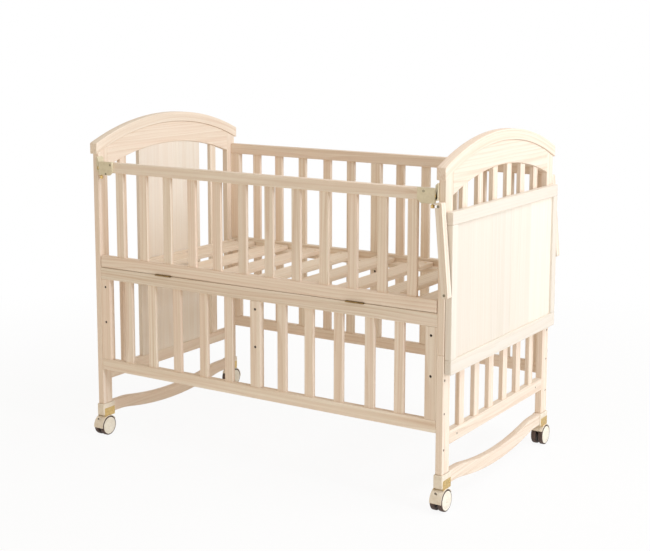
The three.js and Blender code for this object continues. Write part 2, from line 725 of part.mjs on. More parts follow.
// A bed slat with rounded corners, as long as the bed base is deep
function bedSlat(x, width, corner) {
  const outline = new THREE.Shape();
  const turnX = width / 2 - corner;
  const turnY = sideInnerY - bedEdgeGap - corner;
  outline.absarc(turnX, -turnY, corner, -Math.PI / 2, 0, false);
  outline.absarc(turnX, turnY, corner, 0, Math.PI / 2, false);
  outline.absarc(-turnX, turnY, corner, Math.PI / 2, Math.PI, false);
  outline.absarc(-turnX, -turnY, corner, Math.PI, 1.5 * Math.PI, false);
  const options = { depth: bedSlatThickness, bevelEnabled: false, curveSegments: 4 };
  return new THREE.ExtrudeGeometry(outline, options).translate(x, 0, bedUnder);
}

// Bed base: slats on two battens, lying on a rail screwed to each side frame
function addBed() {
  const railInnerY = sideInnerY - bedRailThickness;
  const screwXs = slatCentres(-gateEndX, gateEndX, bedScrewCount, bedScrewRadius);
  for (const [name, side] of sides) {
    const rail = block([-gateEndX, gateEndX], [side * sideInnerY, side * railInnerY],
      [bedUnder - bedRailHeight, bedUnder]);
    const recesses = screwXs.map((x) => rodAlongY(bedScrewRadius, side * (railInnerY - overrun),
      side * (railInnerY + bedScrewDepth), x, bedUnder - bedRailHeight / 2));
    addPiece(`bed_rail_${name}`, cut(rail, ...recesses), "bedPine");
  }
  const first = bedRowStart + bedSlatWidth / 2 - gateEndX;
  const last = gateEndX - bedRowEnd - bedSlatWidth / 2;
  const slats = Array.from({ length: bedSlatCount }, (_, i) => bedSlat(
    first + (i * (last - first)) / (bedSlatCount - 1), bedSlatWidth, bedSlatCorner));
  const endSlats = [-1, 1].map((end) => bedSlat(
    end * (gateEndX - bedEndSlatWidth / 2), bedEndSlatWidth, bedEndSlatCorner));
  const battenY = railInnerY - bedBattenGap;
  const battens = sides.map(([, side]) => block([-gateEndX, gateEndX],
    [side * battenY, side * (battenY - bedBattenWidth)], [bedUnder - bedBattenHeight, bedUnder + joinDepth]));
  addPiece("bed_slats", join(...battens, ...slats, ...endSlats), "bedPine");
}

// Casters: a hooded swivel on a stem, with two wheels on one axle.
// They are drawn at their stem, trailing towards -Y.
function hoodPiece() {
  const inner = wheelRadius + runGap;
  const outer = inner + hoodThickness;
  const sector = (radiusIn, radiusOut, steps) => {
    const angle = (i) => THREE.MathUtils.degToRad(
      hoodFrontAngle + ((hoodRearAngle - hoodFrontAngle) * i) / steps);
    const at = (radius, i) => new THREE.Vector2(
      -casterTrail - radius * Math.cos(angle(i)), wheelRadius + radius * Math.sin(angle(i)));
    const far = Array.from({ length: steps + 1 }, (_, i) => at(radiusOut, i));
    const near = radiusIn > 0 ? Array.from({ length: steps + 1 }, (_, i) => at(radiusIn, steps - i))
      : [new THREE.Vector2(-casterTrail, wheelRadius)];
    return [...far, ...near].reverse();
  };
  const shell = plateAlongX(sector(inner, outer, 18), -hoodWidth / 2, hoodWidth / 2);
  const web = plateAlongX(sector(0, inner + joinDepth, 18), -hoodWebWidth / 2, hoodWebWidth / 2);
  const hubRadius = axleRadius + shoeWall;
  const hub = rodAlongX(hubRadius, -hoodWebWidth / 2, hoodWebWidth / 2, -casterTrail, wheelRadius);
  const neck = rodAlongZ(hoodNeckRadius, wheelRadius + inner - shoeWall, shoeBottom - seatGap, 0, 0);
  const stem = rodAlongZ(stemRadius, shoeBottom - joinDepth, shoeBottom + stemHeight, 0, 0);
  const neckTrim = rodAlongX(inner, -hoodWidth, hoodWidth, -casterTrail, wheelRadius, 40);
  const body = join(cut(join(shell, neck), neckTrim), web, hub, stem);
  const holeAngle = THREE.MathUtils.degToRad(hoodHoleAngle);
  const hole = rodAlongY(hoodHoleRadius, -inner - outer, 0, 0,
    wheelRadius + outer * Math.sin(holeAngle), 12);
  const backstop = inner * Math.cos(holeAngle) - shoeWall;
  const holeTool = hole.translate(0, -casterTrail - backstop, 0);
  const axleBore = rodAlongX(axleRadius + seatGap, -hoodWidth, hoodWidth, -casterTrail, wheelRadius);
  return cut(body, holeTool, axleBore);
}

function wheelsPiece() {
  const inside = wheelSpacing / 2;
  const outside = inside + wheelWidth;
  const halfTurn = Math.PI / wheelSides;
  const treadRadius = wheelRadius / Math.cos(halfTurn);
  const profile = [
    [0, -outside - wheelCoverBulge],
    [wheelCoverRadius / 2, -outside - wheelCoverBulge],
    [wheelCoverRadius, -outside],
    [treadRadius - wheelEdge / 2, -outside],
    [treadRadius, -outside + wheelEdge],
    [treadRadius, -inside - wheelEdge],
    [treadRadius - wheelEdge, -inside],
    [axleRadius, -inside],
  ];
  const full = [...profile, ...profile.map(([radius, along]) => [radius, -along]).reverse()];
  const points = full.map(([radius, along]) => new THREE.Vector2(radius, along));
  const wheels = new THREE.LatheGeometry(points, wheelSides).rotateY(halfTurn);
  return wheels.rotateZ(Math.PI / 2).translate(0, -casterTrail, wheelRadius);
}

function addCasters() {
  const hood = hoodPiece();
  const wheels = wheelsPiece();
  for (const [endName, end] of [["left", -1], ["right", 1]]) {
    addRocker(`${endName}_rocker`, end * postCentreX);
    for (const [name, side] of sides) {
      const corner = `${name}_${endName}`;
      const centreX = end * postCentreX;
      addShoe(`shoe_${corner}`, centreX, side);
      const place = (geometry) => (side < 0 ? geometry.clone() : mirrored(geometry, "y"))
        .translate(centreX, side * casterY, 0);
      addPiece(`caster_hood_${corner}`, place(hood), "creamPlastic");
      addPiece(`caster_wheels_${corner}`, place(wheels), "treadBrown");
    }
  }
}

addLeftEnd();
addRightEnd();
addLowerFront();
addRear();
addBed();
addGate();
addLatches();
addPanel();
addStays();
addCasters();

const extent = new THREE.Box3().setFromObject(crib);
crib.position.x = -(extent.min.x + extent.max.x) / 2;

export default crib;
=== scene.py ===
import math
import random

import bmesh
import bpy
import numpy as np
from mathutils import Matrix, Vector


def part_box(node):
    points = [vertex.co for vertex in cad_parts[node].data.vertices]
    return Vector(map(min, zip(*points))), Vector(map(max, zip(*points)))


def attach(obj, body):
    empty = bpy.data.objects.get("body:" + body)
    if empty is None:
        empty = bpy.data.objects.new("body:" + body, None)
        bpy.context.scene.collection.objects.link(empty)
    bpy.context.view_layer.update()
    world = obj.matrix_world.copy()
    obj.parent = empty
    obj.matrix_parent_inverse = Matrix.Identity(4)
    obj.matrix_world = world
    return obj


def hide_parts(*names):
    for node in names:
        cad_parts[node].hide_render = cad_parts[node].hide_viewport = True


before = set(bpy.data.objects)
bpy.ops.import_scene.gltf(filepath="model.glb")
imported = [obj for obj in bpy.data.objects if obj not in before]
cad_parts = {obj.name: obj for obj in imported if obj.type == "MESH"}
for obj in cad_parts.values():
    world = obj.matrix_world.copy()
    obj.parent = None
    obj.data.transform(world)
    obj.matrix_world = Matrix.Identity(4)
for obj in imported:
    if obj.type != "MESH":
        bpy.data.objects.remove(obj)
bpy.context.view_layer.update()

scene = bpy.context.scene
scene.view_settings.view_transform = "Standard"

# sizes are in metres from the floor and the middle of the four posts, and this moves them into the frame
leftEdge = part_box("left_post_front")[0].x
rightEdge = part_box("right_lower_post_front")[1].x
toFrame = Matrix.Translation((0.5 * (leftEdge + rightEdge), 0, 0))

frameSizes = dict(
    outerX=0.532, innerX=0.514, centreX=0.523, outerY=0.305, innerY=0.269, sideY=0.287, sideCentreY=0.296,
    board=0.018, slat=0.012, sideSlat=0.010, edge=0.0016,
    tuck=0.001, cutPast=0.002,  # how far a slat reaches into its rails, and a cutter past a face
)
woodChance = dict(seeds=900.0, tones=0.035)


# a node's output, with arithmetic that makes the nodes for it
class Value:
    def __init__(self, board, socket):
        self.board, self.socket = board, socket

    def run(self, operation, *others, clamp=False):
        parts = dict(enumerate((self, *others)))
        return self.board.value("ShaderNodeMath", parts, operation=operation, use_clamp=clamp)

    def __add__(self, other): return self.run("ADD", other)
    def __radd__(self, other): return self.run("ADD", other)
    def __mul__(self, other): return self.run("MULTIPLY", other)
    def __sub__(self, other): return self.run("SUBTRACT", other)
    def __rsub__(self, other): return self.board.number("SUBTRACT", other, self)
    def __pow__(self, other): return self.run("POWER", other)

    def clamped(self):
        return self.run("ADD", 0.0, clamp=True)

    def stretched(self, low, gain):
        return ((self - low) * gain).clamped()


class NodeBoard:
    def __init__(self, tree):
        self.tree = tree

    def node(self, kind, inputs=None, **settings):
        made = self.tree.nodes.new(kind)
        for key, setting in settings.items():
            setattr(made, key, setting)
        for key, given in (inputs or {}).items():
            socket = made.inputs[key]
            given = given.socket if isinstance(given, Value) else given
            if isinstance(given, bpy.types.NodeSocket):
                self.tree.links.new(given, socket)
            else:
                socket.default_value = given
        return made

    def value(self, kind, inputs=None, output=0, **settings):
        return Value(self, self.node(kind, inputs, **settings).outputs[output])

    def number(self, operation, first, second):
        return self.value("ShaderNodeMath", {0: first, 1: second}, operation=operation)

    def vector(self, operation, *parts):
        inputs = dict(enumerate(parts))
        return self.node("ShaderNodeVectorMath", inputs, operation=operation).outputs["Vector"]

    def length(self, vector):
        return self.value("ShaderNodeVectorMath", {0: vector}, "Value", operation="LENGTH")

    def mix(self, factor, first, second):
        return self.node("ShaderNodeMix", {0: factor, 6: first, 7: second}, data_type="RGBA").outputs[2]

    def noise(self, vector, scale=1.0, detail=2.0, roughness=0.5, output=0):
        return self.value("ShaderNodeTexNoise", {
            "Vector": vector, "Scale": scale, "Detail": detail, "Roughness": roughness}, output)


def tone(red, green, blue):
    def linear(level):
        level = level / 255
        return level / 12.92 if level <= 0.04045 else ((level + 0.055) / 1.055) ** 2.4
    return (linear(red), linear(green), linear(blue), 1.0)


def blankBoard(holder):
    holder.use_nodes = True
    holder.node_tree.nodes.clear()
    return NodeBoard(holder.node_tree)


def closeMaterial(board, shaderInputs):
    shader = board.node("ShaderNodeBsdfPrincipled", shaderInputs)
    board.node("ShaderNodeOutputMaterial", {"Surface": shader.outputs[0]})


# wood: each board is sawn from its own place in a log, with rings, streaks and fibres

woodLooks = {
    "pine": dict(light=tone(249, 240, 224), dark=tone(209, 179, 147), warm=tone(243, 215, 195),
                 ringWidth=0.0052, ringMix=0.54, streakMix=0.46, tintMix=0.60, rough=0.56),
    "panelPine": dict(light=tone(236, 229, 217), dark=tone(220, 203, 181), warm=tone(237, 221, 206),
                      ringWidth=0.0060, ringMix=0.36, streakMix=0.28, tintMix=0.55, rough=0.54),
    "bedPine": dict(light=tone(243, 231, 213), dark=tone(214, 187, 156), warm=tone(240, 215, 193),
                    ringWidth=0.0048, ringMix=0.48, streakMix=0.40, tintMix=0.60, rough=0.62),
}

# cells are per metre along the grain, across the board and through it
grainLook = dict(
    spread=(5.0, 0.13, 0.06), heart=(0.0, -0.065, 0.028), bendCells=(1.5, 9.0, 9.0), bend=(0.0, 0.024, 0.024),
    unevenCells=(0.4, 55.0, 55.0), uneven=1.6, ringRise=3.0, ringFall=22.0,
    streakCells=(1.6, 110.0, 110.0), fibreCells=(22.0, 1500.0, 1500.0), blushCells=(3.0, 45.0, 45.0),
    fibreMix=0.10, tintShare=0.55, blushShare=0.45, ringGloss=-0.07, fibreRough=0.12,
    bumpStrength=0.35, bumpDepth=0.0004, bumpRings=0.55, bumpFibres=0.45, specular=0.32,
)


def woodMaterial(name, look):
    g = grainLook
    material = bpy.data.materials.new(name)
    board = blankBoard(material)
    point = board.node("ShaderNodeAttribute", attribute_name="grainPoint").outputs["Vector"]
    seed = board.value("ShaderNodeAttribute", output="Fac", attribute_name="boardSeed")
    level = board.value("ShaderNodeAttribute", output="Fac", attribute_name="boardTone")
    chance = board.node("ShaderNodeTexWhiteNoise", {"W": seed}, noise_dimensions="1D").outputs["Color"]
    place = board.vector("ADD", board.vector("MULTIPLY_ADD", chance, g["spread"], point), g["heart"])

    def noise(cells, **shape):
        return board.noise(board.vector("MULTIPLY", place, g[cells]), **shape)

    bend = noise("bendCells", output="Color").socket
    wander = board.vector("MULTIPLY_ADD", bend, g["bend"], place)
    radius = board.length(board.vector("MULTIPLY", wander, (0.0, 1.0, 1.0)))
    uneven = noise("unevenCells", detail=1.0) * g["uneven"]
    phase = (radius * (1 / look["ringWidth"]) + uneven).run("FRACT")
    late = phase ** g["ringRise"] * (1 - phase ** g["ringFall"])  # the dark part of each year's ring
    streaks = noise("streakCells", detail=3.0, roughness=0.6).stretched(0.42, 3.2)
    fibres = noise("fibreCells").stretched(0.38, 2.6)
    blush = noise("blushCells").stretched(0.40, 3.0)

    darkness = (late * look["ringMix"] + streaks * look["streakMix"] + fibres * g["fibreMix"]).clamped()
    tint = board.value("ShaderNodeSeparateXYZ", {0: chance}, 1)
    warmth = (tint * g["tintShare"] + blush * g["blushShare"]) * look["tintMix"]
    colour = board.mix(warmth, board.mix(darkness, look["light"], look["dark"]), look["warm"])
    levels = board.node("ShaderNodeCombineXYZ", {0: level, 1: level, 2: level}).outputs[0]
    bump = board.node("ShaderNodeBump", {
        "Strength": g["bumpStrength"], "Distance": g["bumpDepth"],
        "Height": late * g["bumpRings"] + fibres * g["bumpFibres"]})
    closeMaterial(board, {
        "Base Color": board.vector("MULTIPLY", colour, levels), "Specular IOR Level": g["specular"],
        "Roughness": look["rough"] + late * g["ringGloss"] + fibres * g["fibreRough"],
        "Normal": bump.outputs[0]})
    return material


# fittings: moulded plastic, plated metal and rubber

moulded = dict(metal=0.0, spread=0.10, grainScale=900.0, bump=0.12)
plated = dict(metal=0.85, spread=0.18, grainScale=1500.0, bump=0.12, coat=0.0)
fittingLooks = {
    "creamPlastic": dict(moulded, base=tone(240, 229, 210), shade=tone(229, 215, 193), rough=0.40, patch=70.0,
                         coat=0.08),
    "latchPlastic": dict(moulded, base=tone(226, 216, 187), shade=tone(214, 203, 172), rough=0.42, patch=80.0,
                         coat=0.06),
    "wheelCover": dict(moulded, base=tone(246, 240, 224), shade=tone(236, 227, 206), rough=0.34, patch=60.0,
                       spread=0.08, bump=0.08, coat=0.15),
    "yellowZinc": dict(plated, base=tone(216, 186, 126), shade=tone(186, 160, 104), rough=0.40, patch=190.0,
                       spread=0.16, grainScale=1600.0, bump=0.10),
    "darkSteel": dict(plated, base=tone(92, 80, 68), shade=tone(62, 53, 45), rough=0.42, patch=150.0),
    "agedBrass": dict(plated, base=tone(146, 118, 74), shade=tone(104, 82, 52), rough=0.44, patch=170.0),
    "greyZinc": dict(plated, base=tone(156, 146, 122), shade=tone(132, 122, 100), rough=0.45, patch=220.0,
                     metal=0.75, spread=0.14, bump=0.10),
    "darkBolt": dict(plated, base=tone(58, 49, 42), shade=tone(38, 32, 28), rough=0.46, patch=260.0,
                     metal=0.7, spread=0.14),
    "tread": dict(moulded, base=tone(82, 62, 52), shade=tone(58, 43, 36), rough=0.62, patch=120.0,
                  spread=0.12, grainScale=1300.0, bump=0.25, coat=0.0),
}


def fittingMaterial(name, look):
    material = bpy.data.materials.new(name)
    board = blankBoard(material)
    place = board.node("ShaderNodeTexCoord").outputs["Object"]
    cloud = board.noise(place, scale=look["patch"], detail=3.0, roughness=0.6).stretched(0.4, 3.0)
    grain = board.noise(place, scale=look["grainScale"])
    bump = board.node("ShaderNodeBump", {"Strength": look["bump"], "Distance": 0.0003, "Height": grain})
    closeMaterial(board, {
        "Base Color": board.mix(cloud, look["base"], look["shade"]), "Specular IOR Level": 0.5,
        "Roughness": look["rough"] + (cloud - 0.5) * look["spread"] + (grain - 0.5) * look["spread"],
        "Metallic": look["metal"], "Coat Weight": look["coat"], "Normal": bump.outputs[0]})
    return material


finishes = {name: woodMaterial(name, look) for name, look in woodLooks.items()}
finishes.update({name: fittingMaterial(name, look) for name, look in fittingLooks.items()})
print("finishes made:", len(finishes))


# shapes: points, faces and which faces are smooth

def shapeOf(bm):
    bm.verts.index_update()
    points = np.array([v.co[:] for v in bm.verts], float).reshape(-1, 3)
    faces = [[v.index for v in f.verts] for f in bm.faces]
    smooth = [f.smooth for f in bm.faces]
    bm.free()
    return points, faces, smooth


def softenEdges(bm, width, segments=2, angle=0.5):
    edges = [e for e in bm.edges if len(e.link_faces) == 2 and e.calc_face_angle(0.0) > angle]
    made = bmesh.ops.bevel(bm, geom=edges, offset=width, offset_type="OFFSET", segments=segments,
                           profile=0.5, affect="EDGES", clamp_overlap=True)
    for face in made["faces"]:
        face.smooth = True


def roundedBox(xSpan, ySpan, zSpan, edge, segments=2):
    bm = bmesh.new()
    bmesh.ops.create_cube(bm, size=1.0)
    for axis, span in enumerate((xSpan, ySpan, zSpan)):
        for vert in bm.verts:
            vert.co[axis] = max(span) if vert.co[axis] > 0 else min(span)
    softenEdges(bm, edge, segments)
    return shapeOf(bm)


# a board with flat sides in X, whose top and underside follow two lines along Y
def curvedBoard(xSpan, stations, topLine, underLine, edge, segments=2):
    bm = bmesh.new()
    rings = []
    for y in stations:
        low, high = underLine(y), topLine(y)
        corners = ((xSpan[0], low), (xSpan[1], low), (xSpan[1], high), (xSpan[0], high))
        rings.append([bm.verts.new((x, y, z)) for x, z in corners])
    for before, after in zip(rings, rings[1:]):
        for i in range(4):
            j = (i + 1) % 4
            bm.faces.new((before[i], before[j], after[j], after[i]))
    bm.faces.new(rings[0][::-1])
    bm.faces.new(rings[-1])
    bmesh.ops.recalc_face_normals(bm, faces=bm.faces)
    for face in bm.faces:
        face.smooth = abs(face.normal.z) > 0.5
    softenEdges(bm, edge, segments)
    return shapeOf(bm)


def rod(axis, radius, span, centre, sides=20, edge=0.0):
    bm = bmesh.new()
    low, high = min(span), max(span)
    bmesh.ops.create_cone(bm, cap_ends=True, segments=sides, radius1=radius, radius2=radius, depth=high - low)
    for face in bm.faces:
        face.smooth = len(face.verts) == 4
    if edge:
        rims = [e for e in bm.edges if any(len(f.verts) > 4 for f in e.link_faces)]
        bmesh.ops.bevel(bm, geom=rims, offset=edge, segments=2, profile=0.5, affect="EDGES")
    turns = {"X": Matrix.Rotation(math.pi / 2, 4, "Y"), "Y": Matrix.Rotation(-math.pi / 2, 4, "X")}
    along = Vector((1, 0, 0) if axis == "X" else (0, 1, 0))
    middle = Vector(centre) + along * (0.5 * (low + high) - Vector(centre).dot(along))
    bm.transform(Matrix.Translation(middle) @ turns[axis])
    return shapeOf(bm)


# a profile of (radius, along X) turned about the X axis, from one pole to the other
def turned(profile, sides):
    bm, rings = bmesh.new(), []
    for radius, along in profile:
        angles = [2 * math.pi * i / sides for i in range(sides if radius else 1)]
        rings.append([bm.verts.new((along, radius * math.cos(a), radius * math.sin(a))) for a in angles])
    for before, after in zip(rings, rings[1:]):
        for i in range(sides):
            j = (i + 1) % sides
            corners = [ring[k % len(ring)] for ring, k in ((before, i), (before, j), (after, j), (after, i))]
            bm.faces.new(list(dict.fromkeys(corners)))
    bmesh.ops.recalc_face_normals(bm, faces=bm.faces)
    for face in bm.faces:
        face.smooth = True
    return shapeOf(bm)


def meshFrom(name, shape):
    points, faces, smooth = shape
    mesh = bpy.data.meshes.new(name)
    mesh.from_pydata([tuple(p) for p in points], [], faces)
    mesh.polygons.foreach_set("use_smooth", smooth)
    return mesh


def shapeFrom(mesh):
    points = np.zeros(len(mesh.vertices) * 3)
    mesh.vertices.foreach_get("co", points)
    faces = [list(p.vertices) for p in mesh.polygons]
    smooth = [p.use_smooth for p in mesh.polygons]
    return points.reshape(-1, 3), faces, smooth


def evaluatedMesh(thing):
    graph = bpy.context.evaluated_depsgraph_get()
    return bpy.data.meshes.new_from_object(thing.evaluated_get(graph))


def linked(name, mesh):
    thing = bpy.data.objects.new(name, mesh)
    scene.collection.objects.link(thing)
    return thing


# shape with the cutters' shapes taken out of it
def carved(shape, cutters):
    body = linked("carve", meshFrom("carve", shape))
    gathered = Stack()
    for cutter in cutters:
        gathered.add(cutter)
    tool = linked("cutter", meshFrom("cutter", gathered.shape()))
    cut = body.modifiers.new("cut", "BOOLEAN")
    cut.object, cut.operation, cut.solver = tool, "DIFFERENCE", "EXACT"
    mesh = evaluatedMesh(body)
    for thing in (body, tool):
        bpy.data.objects.remove(thing)
    return shapeFrom(mesh)


# a CAD node's own solid with its sharp edges rounded
def softened(node, width, segments=2, angle=0.6):
    bm = bmesh.new()
    bm.from_mesh(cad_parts[node].data)
    bmesh.ops.remove_doubles(bm, verts=bm.verts, dist=1e-6)
    bmesh.ops.dissolve_limit(bm, angle_limit=0.01, verts=bm.verts, edges=bm.edges)
    bm.transform(toFrame.inverted())
    for face in bm.faces:
        face.smooth = False
    softenEdges(bm, width, segments, angle)
    return shapeOf(bm)


class Stack:
    def __init__(self):
        self.points, self.faces, self.smooth, self.slots = [], [], [], []
        self.grain, self.seed, self.level, self.count = [], [], [], 0
        self.finishes = []

    def add(self, shape, finish=None, place=None, grain=None, seed=0.0, level=1.0):
        points, faces, smooth = shape
        points = np.asarray(points, float)
        flip = False
        if place is not None:
            turn = np.array(place.to_3x3())
            points = points @ turn.T + np.array(place.translation)
            flip = np.linalg.det(turn) < 0
        if finish not in self.finishes:
            self.finishes.append(finish)
        slot = self.finishes.index(finish)
        for face, isSmooth in zip(faces, smooth):
            corners = [i + self.count for i in face]
            self.faces.append(corners[::-1] if flip else corners)
            self.smooth.append(isSmooth)
            self.slots.append(slot)
        self.points.append(points)
        self.grain.append(np.zeros_like(points) if grain is None else grain)
        self.seed += [seed] * len(points)
        self.level += [level] * len(points)
        self.count += len(points)
        return self

    def shape(self):
        return np.concatenate(self.points), self.faces, self.smooth

    # one board: its grain runs along an axis, and its own seed says where it was sawn
    def board(self, name, xSpan, ySpan, zSpan, along, finish="pine", edge=frameSizes["edge"], **details):
        return self.plank(name, roundedBox(xSpan, ySpan, zSpan, edge), along, finish, **details)

    def plank(self, name, shape, along, finish="pine", reshape=None, cutters=(), level=None):
        points, faces, smooth = shape
        if reshape:
            points = reshape(np.array(points))
        if cutters:
            points, faces, smooth = carved((points, faces, smooth), cutters)
        chance = random.Random(name)
        if level is None:
            level = 1.0 + chance.uniform(-woodChance["tones"], woodChance["tones"])
        seed = chance.uniform(0, woodChance["seeds"])
        return self.add((points, faces, smooth), finish, None, grainOf(points, along), seed, level)

    def mesh(self, name, seeded=True):
        mesh, wooden = meshFrom(name, self.shape()), self.finishes[0] in woodLooks
        for finish in self.finishes:
            mesh.materials.append(finishes[finish])
        mesh.polygons.foreach_set("material_index", self.slots)
        if wooden:
            grain = mesh.attributes.new("grainPoint", "FLOAT_VECTOR", "POINT")
            grain.data.foreach_set("vector", np.concatenate(self.grain).astype(np.float32).ravel())
        if wooden and seeded:
            for key, values in (("boardSeed", self.seed), ("boardTone", self.level)):
                mesh.attributes.new(key, "FLOAT", "POINT").data.foreach_set("value", values)
        return mesh


# a board's own coordinates: along its grain, across its width and through its thickness
def grainOf(points, along):
    low, high = points.min(0), points.max(0)
    local = points - (low + high) / 2
    first = "XYZ".index(along)
    others = sorted((i for i in range(3) if i != first), key=lambda i: low[i] - high[i])
    return local[:, [first, *others]]


def seedOf(name):
    return random.Random(name).uniform(0, woodChance["seeds"])


def finishPiece(name, body, source, nodes):
    thing = source if isinstance(source, bpy.types.Object) else linked(name, source)
    thing.name = name
    thing.data.transform(toFrame)
    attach(thing, body)
    if nodes:
        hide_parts(*nodes)


def stackPiece(name, stack, nodes=(), body="crib"):
    finishPiece(name, body, stack.mesh(name), nodes)


# a piece that is one board
def boardPiece(name, nodes, xSpan, ySpan, zSpan, along, finish="pine", body="crib", **details):
    stackPiece(name, Stack().board(name, xSpan, ySpan, zSpan, along, finish, **details), nodes, body)


# geometry nodes

def newTree(name, inputs):
    tree = bpy.data.node_groups.new(name, "GeometryNodeTree")
    tree.interface.new_socket("Geometry", in_out="INPUT", socket_type="NodeSocketGeometry")
    for label, kind in inputs:
        tree.interface.new_socket(label, in_out="INPUT", socket_type="NodeSocket" + kind)
    tree.interface.new_socket("Geometry", in_out="OUTPUT", socket_type="NodeSocketGeometry")
    board = NodeBoard(tree)
    return tree, board, board.node("NodeGroupInput").outputs


def endTree(board, geometry, finish):
    real = board.node("GeometryNodeRealizeInstances", {"Geometry": geometry})
    last = board.node("GeometryNodeSetMaterial", {"Geometry": real.outputs[0], "Material": finish})
    board.node("NodeGroupOutput", {0: last.outputs[0]})


# every instance gets a seed and a tone of its own, for the wood
def seedInstances(board, instances, seed):
    index = board.node("GeometryNodeInputIndex").outputs[0]
    tones = woodChance["tones"]
    ranges = (("boardSeed", 0.0, woodChance["seeds"]), ("boardTone", 1.0 - tones, 1.0 + tones))
    for extra, (key, low, high) in enumerate(ranges):
        chance = board.node("FunctionNodeRandomValue", {
            2: low, 3: high, 7: index, 8: board.number("ADD", seed, extra)}, data_type="FLOAT")
        given = {"Geometry": instances, "Name": key, "Value": chance.outputs[1]}
        stored = board.node("GeometryNodeStoreNamedAttribute", given, data_type="FLOAT", domain="INSTANCE")
        instances = stored.outputs[0]
    return instances


def rowTree():
    tree, board, given = newTree("row", [
        ("Count", "Int"), ("Step", "Vector"), ("Seed", "Int"), ("Finish", "Material")])
    line = board.node("GeometryNodeMeshLine", {
        "Count": given["Count"], "Offset": given["Step"]}, mode="OFFSET")
    row = board.node("GeometryNodeInstanceOnPoints", {
        "Points": line.outputs[0], "Instance": given["Geometry"]})
    endTree(board, seedInstances(board, row.outputs[0], given["Seed"]), given["Finish"])
    return tree


def spotTree():
    tree, board, given = newTree("spots", [("Item", "Object"), ("Seed", "Int"), ("Finish", "Material")])
    item = board.node("GeometryNodeObjectInfo", {"Object": given["Item"]}, transform_space="ORIGINAL")
    turn = board.node("GeometryNodeInputNamedAttribute", {"Name": "turn"}, data_type="FLOAT_VECTOR")
    turned = board.node("FunctionNodeEulerToRotation", {0: turn.outputs[0]})
    spots = board.node("GeometryNodeInstanceOnPoints", {
        "Points": given["Geometry"], "Instance": item.outputs["Geometry"], "Rotation": turned.outputs[0]})
    endTree(board, seedInstances(board, spots.outputs[0], given["Seed"]), given["Finish"])
    return tree


# bends a straight bar, 0 to 1 high, between two arcs about the same centre
def archTree():
    tree, board, given = newTree("arch", [
        ("Crown", "Float"), ("Top Radius", "Float"), ("Depth", "Float"), ("Finish", "Material")])
    here = board.node("GeometryNodeInputPosition").outputs[0]
    parts = board.node("ShaderNodeSeparateXYZ", {0: here})
    y, share = Value(board, parts.outputs[1]), Value(board, parts.outputs[2])
    crown, radius, depth = (Value(board, given[key]) for key in ("Crown", "Top Radius", "Depth"))
    topZ = crown - radius + (radius * radius - y * y).run("SQRT")
    inner = radius - depth
    underZ = crown - radius + (inner * inner - y * y).run("SQRT")
    z = underZ + (topZ - underZ) * share
    placed = board.node("ShaderNodeCombineXYZ", {0: parts.outputs[0], 1: y, 2: z})
    moved = board.node("GeometryNodeSetPosition", {
        "Geometry": given["Geometry"], "Position": placed.outputs[0]})
    endTree(board, moved.outputs[0], given["Finish"])
    return tree


trees = dict(row=rowTree(), spots=spotTree(), arch=archTree())


def grown(thing, tree, values):
    made = thing.modifiers.new("grow", "NODES")
    made.node_group = tree
    sockets = {s.name: s.identifier for s in tree.interface.items_tree if s.in_out == "INPUT"}
    for label, value in values.items():
        made[sockets[label]] = value
    mesh = evaluatedMesh(thing)
    thing.modifiers.remove(made)
    old, thing.data = thing.data, mesh
    bpy.data.meshes.remove(old)
    return thing


# pieces that repeat, in a row with an even step or on spots given as a place and a turn
def rowPiece(name, nodes, first, count, step, seed, finish="pine", body="crib", reshape=None):
    thing = grown(linked(name, first.mesh(name, seeded=False)), trees["row"], {
        "Count": count, "Step": step, "Seed": seed, "Finish": finishes[finish]})
    if reshape:
        points = np.zeros(len(thing.data.vertices) * 3)
        thing.data.vertices.foreach_get("co", points)
        thing.data.vertices.foreach_set("co", reshape(points.reshape(-1, 3)).ravel())
    finishPiece(name, body, thing, nodes)


def spotPiece(name, item, spots, finish, seed, nodes=(), body="crib"):
    mesh = bpy.data.meshes.new(name)
    mesh.from_pydata([place for place, turn in spots], [], [])
    turns = mesh.attributes.new("turn", "FLOAT_VECTOR", "POINT")
    turns.data.foreach_set("vector", [angle for place, turn in spots for angle in turn])
    template = linked(name + "Item", item.mesh(name + "Item", seeded=False))
    thing = grown(linked(name, mesh), trees["spots"], {
        "Item": template, "Seed": seed, "Finish": finishes[finish]})
    bpy.data.objects.remove(template)
    finishPiece(name, body, thing, nodes)


# arcs of the two ends

arch = dict(capCrown=0.876, capRise=0.065, capDepth=0.027, capHalf=0.313, capWidth=0.024, capEdge=0.002,
            apronCrown=0.791, apronRise=0.047, apronEdge=0.0014, gap=0.0003, stations=48, topReach=0.02)
capRadius = (arch["capHalf"] ** 2 + arch["capRise"] ** 2) / (2 * arch["capRise"])
capUnderRadius = capRadius - arch["capDepth"]
apronRadius = (frameSizes["innerY"] ** 2 + arch["apronRise"] ** 2) / (2 * arch["apronRise"])


def capUnder(y):
    crown = arch["capCrown"] - arch["capDepth"]
    return crown - capUnderRadius + np.sqrt(capUnderRadius ** 2 - y ** 2) - arch["gap"]


def apronUnder(y):
    return arch["apronCrown"] - apronRadius + np.sqrt(apronRadius ** 2 - y ** 2)


# lifts or lowers the top of a board to follow a line
def toppedBy(line, nominal, gap=0.0):
    def reshape(points):
        top = points[:, 2] > nominal - arch["topReach"]
        points[top, 2] += line(points[top, 1]) - gap - nominal
        return points
    return reshape


def spanAround(centre, width):
    return (centre - width / 2, centre + width / 2)


# screws and bolts

